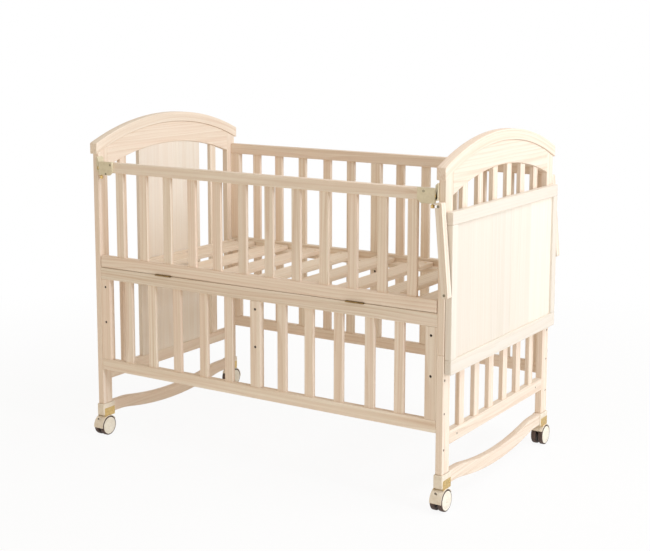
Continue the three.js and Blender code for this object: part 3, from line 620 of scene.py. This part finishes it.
boltSizes = dict(radius=0.0034, height=0.003, socket=0.0017, socketDepth=0.0018, sunk=0.0012,
                 recess=0.0036, recessDepth=0.005, postHeights=(0.149, 0.236, 0.316), rearSpot=(0.491, 0.734))
screwSizes = dict(radius=0.0034, rise=0.0013, slot=0.0009, slotLength=0.0036, slotDepth=0.0011, root=0.0004)
facing = {"+X": (0, 0, 0), "-X": (0, 0, math.pi), "+Y": (0, 0, math.pi / 2), "-Y": (0, 0, -math.pi / 2),
          "+Z": (0, -math.pi / 2, 0)}


# a round head with a hexagon socket, its face at the origin, looking along +X
def boltHead():
    b = boltSizes
    head = rod("X", b["radius"], (-b["height"], 0), (0, 0, 0), sides=24, edge=0.0004)
    socket = rod("X", b["socket"], (-b["socketDepth"], frameSizes["cutPast"]), (0, 0, 0), sides=6)
    return Stack().add(carved(head, [socket]), "darkBolt")


# a domed head with a cross recess, seated at the origin, looking along +X
def screwHead(finish, **sizes):
    s = dict(screwSizes, **sizes)
    r, h, root, across, long = s["radius"], s["rise"], -s["root"], s["slot"] / 2, s["slotLength"] / 2
    dome = [(r * 0.96, h * 0.45), (r * 0.78, h * 0.8), (r * 0.45, h), (0, h)]
    slots = [roundedBox((h - s["slotDepth"], h + 0.001), (-a, a), (-b, b), 0.00005, 1)
             for a, b in ((across, long), (long, across))]
    head = turned([(0, root), (r, root), (r, 0.0), *dome], 24)
    return Stack().add(carved(carved(head, slots[:1]), slots[1:]), finish)


def recess(end, y, z, radius=boltSizes["recess"]):
    face = end * frameSizes["outerX"]
    span = (face - end * boltSizes["recessDepth"], face + end * frameSizes["cutPast"])
    return rod("X", radius, span, (0, y, z), 24)


# the two ends

endSizes = dict(postFoot=0.090, postTop=0.80, joint=0.376, railZ=(0.156, 0.188), centreHalf=0.135,
                slatWidth=0.026, slatTop=0.78, slatGap=0.0002, slatCount=6, lowerTopRail=(0.333, 0.376),
                upperRail=(0.376, 0.410), railBoltY=0.229, railRecess=0.003,
                plankStations=8, plankEdge=0.0004,
                leftPlanks=(-0.135, -0.052, 0.041, 0.135), leftTones=(1.045, 1.075, 1.06))
sides = (("Front", "front", -1), ("Rear", "rear", 1))
slatTrim = toppedBy(apronUnder, endSizes["slatTop"], endSizes["slatGap"])


def endX(end):
    return sorted((end * frameSizes["innerX"], end * frameSizes["outerX"]))


def addPosts():
    f, e = frameSizes, endSizes
    posts = (("leftPost", "left_post", -1, e["postFoot"], e["postTop"]),
             ("rightLowerPost", "right_lower_post", 1, e["postFoot"], e["joint"]),
             ("rightUpperPost", "right_upper_post", 1, e["joint"], e["postTop"]))
    for label, node, side in sides:
        ys = (side * f["outerY"], side * f["innerY"])
        boltY = side * f["sideCentreY"]
        for name, post, end, foot, top in posts:
            details = {}
            if top == e["postTop"]:
                details["reshape"] = toppedBy(capUnder, top)
            if foot == e["postFoot"]:
                details["cutters"] = [recess(end, boltY, z) for z in boltSizes["postHeights"]]
            boardPiece(name + label, [f"{post}_{node}"], endX(end), ys, (foot, top), "Z", **details)


def addCap(name, node, end):
    half, depth = arch["capHalf"], arch["capDepth"]
    stations = np.linspace(-half, half, arch["stations"] + 1)
    xSpan = spanAround(end * frameSizes["centreX"], arch["capWidth"])
    points, faces, smooth = curvedBoard(xSpan, stations, lambda y: depth, lambda y: 0.0, arch["capEdge"], 3)
    grain = grainOf(points, "Y")
    points[:, 2] /= depth  # the tree takes each height as a share of the depth
    stack = Stack().add((points, faces, smooth), "pine", None, grain, seedOf(name))
    thing = grown(linked(name, stack.mesh(name)), trees["arch"], {
        "Crown": arch["capCrown"], "Top Radius": capRadius, "Depth": depth, "Finish": finishes["pine"]})
    finishPiece(name, "crib", thing, [node])


def addApron(name, node, end):
    stations = np.linspace(-frameSizes["innerY"], frameSizes["innerY"], arch["stations"] + 1)
    shape = curvedBoard(endX(end), stations, capUnder, apronUnder, arch["apronEdge"])
    stackPiece(name, Stack().plank(name, shape, "Y"), [node])


def addLeftEnd():
    f, e = frameSizes, endSizes
    slatX, railTop = spanAround(-f["centreX"], f["slat"]), e["railZ"][1]
    boardPiece("leftLowerRail", ["left_lower_rail"], endX(-1), (-f["innerY"], f["innerY"]), e["railZ"], "Y")
    addCap("leftCap", "left_cap", -1)
    addApron("leftApron", "left_apron", -1)
    centre = Stack()
    for i, (low, high) in enumerate(zip(e["leftPlanks"], e["leftPlanks"][1:])):
        shape = curvedBoard(slatX, np.linspace(low, high, e["plankStations"] + 1),
                            lambda y: apronUnder(y) - e["slatGap"], lambda y: railTop, e["plankEdge"])
        centre.plank(f"leftPlank{i}", shape, "Z", "panelPine", level=e["leftTones"][i])
    stackPiece("leftCentreBoard", centre, ["left_centre_board"])
    slatY = (e["centreHalf"] + f["innerY"]) / 2
    for label, node, side in sides:
        boardPiece("leftSlat" + label, [f"left_slat_{node}"], slatX, spanAround(side * slatY, e["slatWidth"]),
                   (railTop - f["tuck"], e["slatTop"]), "Z", reshape=slatTrim)


def addRightEnd():
    f, e = frameSizes, endSizes
    xSpan, inner, slatX = endX(1), (-f["innerY"], f["innerY"]), spanAround(f["centreX"], f["slat"])
    railMiddle = sum(e["railZ"]) / 2
    rails = Stack()
    rails.board("rightLowerRail", xSpan, inner, e["railZ"], "Y",
                cutters=[recess(1, side * e["railBoltY"], railMiddle, e["railRecess"]) for side in (-1, 1)])
    rails.board("rightMiddleRail", xSpan, inner, e["lowerTopRail"], "Y")
    stackPiece("rightLowerRails", rails, ["right_lower_grille"])
    boardPiece("rightUpperRail", ["right_upper_grille"], xSpan, inner, e["upperRail"], "Y")

    count, width = e["slatCount"], e["slatWidth"]
    gap = (2 * f["innerY"] - count * width) / (count + 1)
    ys, step = spanAround(-f["innerY"] + gap + width / 2, width), (0, gap + width, 0)
    low = Stack().board("rightLowerSlat", slatX, ys,
                        (e["railZ"][1] - f["tuck"], e["lowerTopRail"][0] + f["tuck"]), "Z")
    rowPiece("rightLowerSlats", ["right_lower_grille"], low, count, step, 11)
    tall = Stack().board("rightUpperSlat", slatX, ys, (e["upperRail"][1] - f["tuck"], e["slatTop"]), "Z")
    rowPiece("rightUpperSlats", ["right_upper_grille"], tall, count, step, 12, reshape=slatTrim)
    addCap("rightCap", "right_cap", 1)
    addApron("rightApron", "right_apron", 1)


addPosts()
addLeftEnd()
addRightEnd()
print("ends made")


# side frames

frontSizes = dict(bottom=0.189, seam=0.4735, topRail=0.032, bottomRail=0.030)
rearSizes = dict(bottom=0.195, seam=0.763, topRail=0.030, bottomRail=0.030, midRail=(0.443, 0.475))
sideSlats = dict(stile=0.031, width=0.026, shares=(0.134, 0.307, 0.489, 0.676, 0.849))
bedHoles = dict(heights=(0.420, 0.323), places=(-0.4985, 0.0, 0.4985), radius=0.0035, past=0.004)


def addSideFrame(prefix, nodes, side, sizes, seed):
    f, s, h = frameSizes, sideSlats, bedHoles
    long, ys = (-f["innerX"], f["innerX"]), (side * f["outerY"], side * f["sideY"])
    railTop, slatTop = sizes["bottom"] + sizes["bottomRail"], sizes["seam"] - sizes["topRail"]
    through = (side * (f["sideY"] - h["past"]), side * (f["outerY"] + h["past"]))
    midRail = sizes.get("midRail")
    boards = Stack().board(prefix + "BottomRail", long, ys, (sizes["bottom"], railTop), "X")
    if midRail:
        boards.board(prefix + "MiddleRail", long, ys, midRail, "X")
    for i, x in enumerate(h["places"]):
        xSpan, zSpan = spanAround(x, s["stile"]), (railTop, midRail[0] if midRail else slatTop)
        holes = [rod("Y", h["radius"], through, (x, 0, z), 24) for z in h["heights"]]
        boards.board(f"{prefix}Stile{i}", xSpan, ys, zSpan, "Z", cutters=holes)
        if midRail:
            boards.board(f"{prefix}UpperStile{i}", xSpan, ys, (midRail[1], slatTop), "Z")
    stackPiece(prefix + "Frame", boards, nodes[:1])
    boardPiece(prefix + "TopRail", nodes[1:], long, ys, (slatTop, sizes["seam"]), "X")
    slat = Stack().board(prefix + "Slat", spanAround(0, s["width"]),
                         spanAround(side * f["sideCentreY"], f["sideSlat"]),
                         (railTop - f["tuck"], slatTop + f["tuck"]), "Z")
    opening = h["places"][2] - s["stile"]
    spots = [((stileX + s["stile"] / 2 + share * opening, 0, 0), (0, 0, 0))
             for stileX in h["places"][:2] for share in s["shares"]]
    spotPiece(prefix + "Slats", slat, spots, "pine", seed, nodes[:1])


addSideFrame("frontLower", ["front_lower_grille", "front_lower_top_rail"], -1, frontSizes, 21)
addSideFrame("rear", ["rear_grille", "rear_top_rail"], 1, rearSizes, 24)


# gate

gateSizes = dict(topRail=(0.733, 0.761), topHalf=0.507, topEdge=0.0022, bottomRail=(0.4745, 0.5055),
                 half=0.512, slatWidth=0.026, count=12, hingeX=0.294, mortiseWidth=0.0506,
                 mortiseY=(-0.31, -0.2907), mortiseZ=(0.47, 0.4761), mortiseEdge=0.0001)


def addGate():
    f, g = frameSizes, gateSizes
    ys = (-f["outerY"], -f["sideY"])
    boardPiece("gateTopRail", ["gate_top_rail"], (-g["topHalf"], g["topHalf"]), ys, g["topRail"], "X",
               body="gate", edge=g["topEdge"])
    mortises = [roundedBox(spanAround(end * g["hingeX"], g["mortiseWidth"]), g["mortiseY"], g["mortiseZ"],
                           g["mortiseEdge"], 1) for end in (-1, 1)]
    boardPiece("gateBottomRail", ["gate_grille"], (-g["half"], g["half"]), ys, g["bottomRail"], "X",
               body="gate", cutters=mortises)
    count, width = g["count"], g["slatWidth"]
    gap = (2 * g["half"] - count * width) / (count + 1)
    slat = Stack().board("gateSlat", spanAround(-g["half"] + gap + width / 2, width),
                         spanAround(-f["sideCentreY"], f["sideSlat"]),
                         (g["bottomRail"][1] - f["tuck"], g["topRail"][0] + f["tuck"]), "Z")
    rowPiece("gateSlats", ["gate_grille"], slat, count, (gap + width, 0, 0), 31, body="gate")


addGate()


# bed

bedSizes = dict(top=0.468, thick=0.012, slatWidth=0.061, count=8, row=(-0.480, 0.440), half=0.512,
                reach=0.284, corner=0.010, cornerSteps=5, slatEdge=0.0014, endWidth=0.014, endCorner=0.003,
                battenY=(0.251, 0.267), battenZ=(0.444, 0.456), railY=(0.269, 0.287), railZ=(0.439, 0.456),
                recess=0.004, recessDepth=0.003, railScrews=(-0.34267, -0.17133, 0.0, 0.17133, 0.34267),
                screwX=0.017, screwRise=0.0006)


# a flat slat across the bed, with the corners of its outline rounded
def bedSlat(x, width, corner):
    b = bedSizes
    bm = bmesh.new()
    outline = []
    for cornerX, cornerY, start in ((1, -1, -90), (1, 1, 0), (-1, 1, 90), (-1, -1, 180)):
        for i in range(b["cornerSteps"] + 1):
            angle = math.radians(start + 90 * i / b["cornerSteps"])
            across = cornerX * (width / 2 - corner) + corner * math.cos(angle)
            y = cornerY * (b["reach"] - corner) + corner * math.sin(angle)
            outline.append(bm.verts.new((x + across, y, b["top"] - b["thick"])))
    lifted = bmesh.ops.extrude_face_region(bm, geom=[bm.faces.new(outline)])
    for vert in lifted["geom"]:
        if isinstance(vert, bmesh.types.BMVert):
            vert.co.z = b["top"]
    bmesh.ops.recalc_face_normals(bm, faces=bm.faces)
    for face in bm.faces:
        face.smooth = abs(face.normal.z) < 0.5
    softenEdges(bm, b["slatEdge"], 2, 1.0)
    return shapeOf(bm)


def addBed():
    b = bedSizes
    long, screwZ = (-b["half"], b["half"]), sum(b["railZ"]) / 2
    for label, node, side in sides:
        inner, bottom = side * b["railY"][0], side * (b["railY"][0] + b["recessDepth"])
        recesses = [rod("Y", b["recess"], (inner - side * frameSizes["cutPast"], bottom), (x, 0, screwZ), 24)
                    for x in b["railScrews"]]
        boardPiece("bedRail" + label, [f"bed_rail_{node}"], long, (inner, side * b["railY"][1]), b["railZ"],
                   "X", "bedPine", cutters=recesses)
        spots = [((x, bottom, screwZ), facing["-Y" if side > 0 else "+Y"]) for x in b["railScrews"]]
        spotPiece("bedRailScrews" + label, screwHead("yellowZinc"), spots, "yellowZinc", 43)
    endSlatX = b["half"] - b["endWidth"] / 2
    battens = Stack()
    for label, node, side in sides:
        ys = [side * y for y in b["battenY"]]
        battens.board("bedBatten" + label, long, ys, b["battenZ"], "X", "bedPine")
    for end in (-1, 1):
        shape = bedSlat(end * endSlatX, b["endWidth"], b["endCorner"])
        battens.plank(f"bedEndSlat{end}", shape, "Y", "bedPine")
    stackPiece("bedBattens", battens, ["bed_slats"])

    first, last = (b["row"][0] + b["slatWidth"] / 2, b["row"][1] - b["slatWidth"] / 2)
    step = (last - first) / (b["count"] - 1)
    slat = Stack().plank("bedSlat", bedSlat(first, b["slatWidth"], b["corner"]), "Y", "bedPine")
    rowPiece("bedSlats", ["bed_slats"], slat, b["count"], (step, 0, 0), 41, "bedPine")
    battenY = sum(b["battenY"]) / 2
    places = [(first + i * step + x, side * battenY)
              for i in range(b["count"]) for x in (-b["screwX"], b["screwX"]) for side in (-1, 1)]
    places += [(end * endSlatX, side * battenY) for end in (-1, 1) for side in (-1, 1)]
    screws = [((x, y, b["top"]), facing["+Z"]) for x, y in places]
    spotPiece("bedScrews", screwHead("yellowZinc", rise=b["screwRise"]), screws, "yellowZinc", 42)


addBed()
print("side frames, gate and bed made")


# fold-out panel and its stays

panelSizes = dict(x=(0.5327, 0.5497), z=(0.331, 0.710), endY=0.302, stile=0.025, topRail=0.030,
                  bottomRail=0.035, edge=0.0018, boardX=(0.5357, 0.5437), tongue=0.005, plankEdge=0.0004,
                  grooveGap=0.0002, grooveDepth=0.0053, grooveEdge=0.00005,
                  planks=(-0.2815, -0.196, -0.083, 0.028, 0.145, 0.2815),
                  tones=(0.975, 0.99, 0.97, 1.02, 1.10))


def addPanel():
    p = panelSizes
    inZ, inY = (p["z"][0] + p["bottomRail"], p["z"][1] - p["topRail"]), p["endY"] - p["stile"]
    gap, deep = p["grooveGap"], p["grooveDepth"]
    groove = roundedBox((p["boardX"][0] - gap, p["boardX"][1] + gap), (-inY - deep, inY + deep),
                        (inZ[0] - deep, inZ[1] + deep), p["grooveEdge"], 1)
    frames = [("panelTopRail", "panel_top_rail", (-p["endY"], p["endY"]), (inZ[1], p["z"][1]), "Y"),
              ("panelBottomRail", "panel_bottom_rail", (-p["endY"], p["endY"]), (p["z"][0], inZ[0]), "Y")]
    frames += [("panelStile" + label, f"panel_stile_{node}", (side * p["endY"], side * inY), inZ, "Z")
               for label, node, side in sides]
    for name, node, ys, zs, along in frames:
        boardPiece(name, [node], p["x"], ys, zs, along, "panelPine", "panel", edge=p["edge"],
                   cutters=[groove])
    planks, zs = Stack(), (inZ[0] - p["tongue"], inZ[1] + p["tongue"])
    for i, ys in enumerate(zip(p["planks"], p["planks"][1:])):
        planks.board(f"panelPlank{i}", p["boardX"], ys, zs, "Z", "panelPine", edge=p["plankEdge"],
                     level=p["tones"][i])
    stackPiece("panelBoard", planks, ["panel_board"], "panel")


staySizes = dict(studX=0.523, studZ=0.724, studRoot=0.304, pivotX=0.5412, pivotZ=0.5225, pivotRoot=0.301,
                 outsideY=0.3254, edge=0.0011, tone=0.98, shank=0.0022, head=0.0034, headRise=0.0013,
                 seat=0.0003, collar=0.006, collarEnd=0.305, collarEdge=0.0004)


def addStays():
    s = staySizes
    lean = math.atan2(s["studX"] - s["pivotX"], s["studZ"] - s["pivotZ"])
    upright = Matrix.Rotation(-lean, 4, "Y") @ Matrix.Translation((-s["pivotX"], 0, -s["pivotZ"]))
    for label, node, side in sides:
        points, faces, smooth = softened(f"stay_{node}", s["edge"])
        straight = points @ np.array(upright.to_3x3()).T + np.array(upright.translation)
        stay = Stack().add((points, faces, smooth), "pine", None, grainOf(straight, "Z"),
                           seedOf("stay" + label), s["tone"])
        stackPiece("stay" + label, stay, [f"stay_{node}"], f"stay_{node}")
        outer = side * (s["outsideY"] + s["seat"])
        turn = Matrix.Rotation(facing["+Y" if side > 0 else "-Y"][2], 4, "Z")
        for kind, body in (("stud", "crib"), ("pivot", "panel")):
            x, z, root = (s[kind + part] for part in ("X", "Z", "Root"))
            screw = Stack().add(rod("Y", s["shank"], (side * root, outer), (x, 0, z), 20), "darkSteel")
            if kind == "pivot":
                span = (side * root, side * s["collarEnd"])
                screw.add(rod("Y", s["collar"], span, (x, 0, z), 24, s["collarEdge"]), "darkSteel")
            head = screwHead("greyZinc", radius=s["head"], rise=s["headRise"] - s["seat"])
            screw.add(head.shape(), "greyZinc", Matrix.Translation((x, outer, z)) @ turn)
            stackPiece(f"stay{kind.capitalize()}{label}", screw, (), body)


addPanel()
addStays()
print("panel and stays made")


# rockers, shoes and casters

rockerSizes = dict(top=0.090, ends=0.030, drop=0.020, mid=0.033, bowHalf=0.201, blend=0.003, stations=56,
                   edge=0.0022)
bowRadius = (rockerSizes["bowHalf"] ** 2 + rockerSizes["drop"] ** 2) / (2 * rockerSizes["drop"])
shoeSizes = dict(half=0.012, y=(0.262, 0.308), z=(0.057, 0.0897), edge=0.0024, pocket=0.0093,
                 pocketY=(0.25, 0.3053), pocketZ=(0.0597, 0.095), pocketEdge=0.0001,
                 plateY=(0.2650, 0.3045), plateZ=(0.0535, 0.0765), plateThick=0.0007, plateSunk=0.0006,
                 plateEdge=0.0003, screwY=(0.272, 0.298), screwZ=0.066, screw=0.003, screwSlot=0.003)
casterSizes = dict(axleY=0.291, axleZ=0.0265, axle=0.003, axleIn=0.002, inside=0.0038, width=0.0125,
                   radius=0.0265, cover=0.0233, sides=48, hood=0.0357, hoodEdge=0.0006,
                   pinAngle=math.radians(40), pinHead=0.0024, pinRise=0.0007, pinSlot=0.0026)
corners = [(f"{label}{end.capitalize()}", f"{node}_{end}", side, -1 if end == "left" else 1)
           for end in ("left", "right") for label, node, side in sides]


# how far the rocker's bow lies below its ends, with the corners of the bow blended
def dip(y, drop):
    bow = drop - (bowRadius - np.sqrt(bowRadius ** 2 - y ** 2))
    return (bow + np.sqrt(bow ** 2 + rockerSizes["blend"] ** 2)) / 2


def addRockers():
    r = rockerSizes
    stations = np.linspace(-frameSizes["outerY"], frameSizes["outerY"], r["stations"] + 1)
    under = r["drop"] + r["mid"] - r["ends"]
    for name, node, end in (("leftRocker", "left_rocker", -1), ("rightRocker", "right_rocker", 1)):
        xSpan = spanAround(end * frameSizes["centreX"], frameSizes["board"])
        shape = curvedBoard(xSpan, stations, lambda y: r["top"] - dip(y, r["drop"]),
                            lambda y: r["top"] - r["ends"] - dip(y, under), r["edge"])
        stackPiece(name, Stack().plank(name, shape, "Y"), [node])


def addShoes():
    s = shoeSizes
    for label, node, side, end in corners:
        x = end * frameSizes["centreX"]
        outer = roundedBox(spanAround(x, 2 * s["half"]), [side * y for y in s["y"]], s["z"], s["edge"], 3)
        pocket = roundedBox(spanAround(x, 2 * s["pocket"]), [side * y for y in s["pocketY"]], s["pocketZ"],
                            s["pocketEdge"], 1)
        stackPiece("shoe" + label, Stack().add(carved(outer, [pocket]), "creamPlastic"), [f"shoe_{node}"])
        plates = Stack()
        for face in (-1, 1):
            faceX = x + face * s["half"]
            outside = faceX + face * s["plateThick"]
            plates.add(roundedBox((faceX - face * s["plateSunk"], outside), [side * y for y in s["plateY"]],
                                  s["plateZ"], s["plateEdge"]), "yellowZinc")
            for y in s["screwY"]:
                head = screwHead("yellowZinc", radius=s["screw"], slotLength=s["screwSlot"])
                turn = Matrix.Rotation(0 if face > 0 else math.pi, 4, "Z")
                plates.add(head.shape(), "yellowZinc",
                           Matrix.Translation((outside, side * y, s["screwZ"])) @ turn)
        stackPiece("shoePlates" + label, plates, ())


# the profiles of a wheel, with their distance from the middle of the caster along X
def wheelProfiles():
    c = casterSizes
    a, b, r, cover = c["inside"], c["inside"] + c["width"], c["radius"], c["cover"]
    return {
        "tread": [
            (0.0, a + 0.001), (r - 0.006, a + 0.001), (r - 0.0045, a), (r - 0.002, a),
            (r - 0.0006, a + 0.0008), (r, a + 0.0024), (r, b - 0.0024), (r - 0.0005, b - 0.0008),
            (r - 0.0016, b), (cover + 0.0004, b), (cover + 0.0002, b - 0.0012), (0.0, b - 0.0012)],
        "wheelCover": [
            (0.0, b - 0.001), (cover, b - 0.001), (cover, b - 0.0001), (cover - 0.0006, b + 0.0004),
            (0.0196, b + 0.0008), (0.0188, b + 0.0003), (0.0180, b + 0.0010), (0.0100, b + 0.0013),
            (0.0062, b + 0.0013), (0.0058, b + 0.0009), (0.0052, b + 0.0013), (0.0, b + 0.0014)],
    }


def addCasters():
    c, profiles = casterSizes, wheelProfiles()
    axleHalf = c["inside"] + c["axleIn"]
    for label, node, side, end in corners:
        centre = Matrix.Translation((end * frameSizes["centreX"], side * c["axleY"], c["axleZ"]))
        for key, finish in (("Treads", "tread"), ("Covers", "wheelCover")):
            stack = Stack()
            for direction in (-1, 1):
                mirror = Matrix.Scale(direction, 4, (1, 0, 0))
                stack.add(turned(profiles[finish], c["sides"]), finish, centre @ mirror)
            if key == "Treads":
                stack.add(rod("X", c["axle"], (-axleHalf, axleHalf), (0, 0, 0), 20), "darkSteel", centre)
            stackPiece(f"wheel{key}{label}", stack, [f"caster_wheels_{node}"], f"wheels_{node}")
        hood = Stack().add(softened(f"caster_hood_{node}", c["hoodEdge"], 2, 0.7), "creamPlastic")
        stackPiece("hood" + label, hood, [f"caster_hood_{node}"], f"swivel_{node}")
        # a dark pin head in each hood's hole: partly a real pin, and partly painted shade, since its dark
        # colour deepens the hole's dark dot
        outward = Vector((0, side * math.cos(c["pinAngle"]), math.sin(c["pinAngle"])))
        turn = outward.to_track_quat("X", "Z").to_matrix().to_4x4()
        head = screwHead("darkBolt", radius=c["pinHead"], rise=c["pinRise"], slotLength=c["pinSlot"])
        pin = Stack().add(head.shape(), "darkBolt", centre @ Matrix.Translation(outward * c["hood"]) @ turn)
        stackPiece("hoodPin" + label, pin, (), f"swivel_{node}")


addRockers()
addShoes()
addCasters()
print("rockers, shoes and casters made")


# latches, hinges and bolts

latchSizes = dict(faceY=-0.3115, screw=0.0030, screwRise=0.0007, screwSlot=0.0034,
                  screws=dict(left=[(0.466, 0.755), (0.482, 0.7305)], right=[(0.478, 0.755)]))


def addLatches():
    s = latchSizes
    for end, sign in (("left", -1), ("right", 1)):
        label = end.capitalize()
        for kind, body, finish, edge in (("housing", "gate", "latchPlastic", 0.0008),
                                         ("strike", "crib", "latchPlastic", 0.0007),
                                         ("bolt", f"bolt_{end}", "yellowZinc", 0.0004)):
            stack = Stack().add(softened(f"latch_{kind}_{end}", edge, 2, 0.7), finish)
            stackPiece(f"latch{kind.capitalize()}{label}", stack, [f"latch_{kind}_{end}"], body)
        spots = [((sign * x, s["faceY"], z), facing["-Y"]) for x, z in s["screws"][end]]
        item = screwHead("greyZinc", radius=s["screw"], rise=s["screwRise"], slotLength=s["screwSlot"])
        spotPiece("latchScrews" + label, item, spots, "greyZinc", 51, body="gate")


# the hinges are shown as the CAD has them
def addHinges():
    for node in [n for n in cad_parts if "hinge" in n]:
        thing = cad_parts[node]
        thing.data.materials.clear()
        thing.data.materials.append(finishes["agedBrass"])


def addBolts():
    f, b = frameSizes, boltSizes
    faceX = f["outerX"] - b["sunk"]
    spots = [((end * faceX, side * f["sideCentreY"], z), facing["+X" if end > 0 else "-X"])
             for end in (-1, 1) for side in (-1, 1) for z in b["postHeights"]]
    railZ = sum(endSizes["railZ"]) / 2
    spots += [((faceX, side * endSizes["railBoltY"], railZ), facing["+X"]) for side in (-1, 1)]
    rearX, rearZ = b["rearSpot"]
    spots.append(((rearX, f["sideY"], rearZ), facing["-Y"]))
    spotPiece("frameBolts", boltHead(), spots, "darkBolt", 61)


linerSizes = dict(radius=0.0034, edge=0.0004, bore=0.0022, boreDepth=0.005, sunk=0.0012)


# the dark threaded sleeves in the empty holes for the lower places of the bed, closed in the middle: partly
# real inserts, and partly painted shade, a dark plug that keeps light from showing through the holes
def addHoleLiners():
    f, s = frameSizes, linerSizes
    half = (f["outerY"] - f["sideY"]) / 2 - s["sunk"]
    bores = [rod("X", s["bore"], (end * (half + f["cutPast"]), end * (half - s["boreDepth"])), (0, 0, 0), 18)
             for end in (-1, 1)]
    blank = rod("X", s["radius"], (-half, half), (0, 0, 0), 24, s["edge"])
    sleeve = Stack().add(carved(blank, bores), "darkBolt")
    spots = [((x, side * f["sideCentreY"], z), facing["+Y"])
             for side in (-1, 1) for z in bedHoles["heights"] for x in bedHoles["places"]]
    spotPiece("holeLiners", sleeve, spots, "darkBolt", 62)


addLatches()
addHinges()
addBolts()
addHoleLiners()
print("latches, hinges and bolts made")


# floor, lamps and camera

stageLook = dict(floorRadius=14.0, floorTone=tone(250, 249, 247), shadowShare=0.08, shadowReach=(0.9, 2.2),
                 roomLight=0.47, roomTone=(1.0, 0.885, 0.745, 1.0), white=(1, 1, 1, 1))
lampSetup = [
    dict(name="keySoftbox", place=(6.65, -1.15, 2.80), aim=(0, 0, 0.45), size=(1.2, 1.2),
         power=176.0, colour=(0.80, 0.875, 1.0)),
    dict(name="lowSoftbox", place=(6.7, -0.27, 0.40), aim=(0, 0, 0.10), size=(2.4, 0.5),
         power=40.0, colour=(0.88, 0.94, 1.0)),
    dict(name="frontFill", place=(-0.6, -3.4, 0.5), aim=(0, 0, 0.20), size=(2.8, 0.9),
         power=11.0, colour=(1.0, 0.88, 0.70)),
    dict(name="topSoftbox", place=(0.0, 0.0, 3.6), aim=(0, 0, 0.45), size=(3.2, 2.6),
         power=10.0, colour=(1.0, 0.98, 0.95)),
    dict(name="endSoftbox", place=(1.7, 0.2, 2.3), aim=(-0.5, 0, 0.5), size=(1.2, 1.2),
         power=22.0, colour=(0.90, 0.95, 1.0)),
]


# 1 where the camera or a reflection looks at the stage
def seenDirectly(board):
    path = board.node("ShaderNodeLightPath").outputs
    seen = board.number("MAXIMUM", path["Is Camera Ray"], path["Is Glossy Ray"])
    return board.number("MAXIMUM", seen, path["Is Transmission Ray"])


def addFloor():
    s = stageLook
    bm = bmesh.new()
    bmesh.ops.create_circle(bm, cap_ends=True, segments=96, radius=s["floorRadius"])
    mesh = bpy.data.meshes.new("floor")
    bm.to_mesh(mesh)
    bm.free()
    floor = linked("floor", mesh)
    material = bpy.data.materials.new("floorWhite")
    board = blankBoard(material)
    matt = board.node("ShaderNodeBsdfDiffuse", {"Color": s["floorTone"]})
    white = board.node("ShaderNodeEmission", {"Color": s["white"], "Strength": 1.0})
    near, far = s["shadowReach"]
    away = board.length(board.node("ShaderNodeTexCoord").outputs["Object"])
    share = 1 - (1 - away.stretched(near, 1 / (far - near))) * s["shadowShare"]
    mixed = board.node("ShaderNodeMixShader", {
        0: seenDirectly(board) * share, 1: matt.outputs[0], 2: white.outputs[0]})
    board.node("ShaderNodeOutputMaterial", {"Surface": mixed.outputs[0]})
    mesh.materials.append(material)


def addRoom():
    s = stageLook
    world = bpy.data.worlds.new("studio")
    board = blankBoard(world)
    seen = seenDirectly(board)
    strength = s["roomLight"] + seen * (1 - s["roomLight"])
    sky = board.node("ShaderNodeBackground", {
        "Color": board.mix(seen, s["roomTone"], s["white"]), "Strength": strength})
    board.node("ShaderNodeOutputWorld", {"Surface": sky.outputs[0]})
    scene.world = world


def addLamps():
    for setup in lampSetup:
        data = bpy.data.lights.new(setup["name"], "AREA")
        data.shape, data.size, data.size_y = "RECTANGLE", *setup["size"]
        data.energy, data.color = setup["power"], setup["colour"]
        lamp = linked(setup["name"], data)
        aim = (Vector(setup["aim"]) - Vector(setup["place"])).to_track_quat("-Z", "Y")
        lamp.matrix_world = Matrix.Translation(setup["place"]) @ aim.to_matrix().to_4x4()


cameraSetup = dict(yaw=32.638, pitch=-8.390, roll=0.102, focalPixels=1295.7, width=650, height=551,
                   place=(1.8612, -2.8855, 1.1407), middleRow=210.0)


def addCamera():
    c = cameraSetup
    yaw, pitch, roll = (math.radians(c[key]) for key in ("yaw", "pitch", "roll"))
    ahead = Vector((-math.sin(yaw) * math.cos(pitch), math.cos(yaw) * math.cos(pitch), math.sin(pitch)))
    level = Vector((math.cos(yaw), math.sin(yaw), 0))
    upright = level.cross(ahead)
    right = level * math.cos(roll) + upright * math.sin(roll)
    above = upright * math.cos(roll) - level * math.sin(roll)
    data = bpy.data.cameras.new("camera")
    data.sensor_width = 36.0
    data.lens = c["focalPixels"] * data.sensor_width / c["width"]
    data.shift_y = (c["middleRow"] - c["height"] / 2) / c["width"]
    data.clip_end = 60.0
    camera = linked("camera", data)
    turn = Matrix((right, above, -ahead)).transposed().to_4x4()
    camera.matrix_world = toFrame @ Matrix.Translation(c["place"]) @ turn
    scene.camera = camera


addFloor()
addRoom()
addLamps()
addCamera()
print("stage, lamps and camera made")
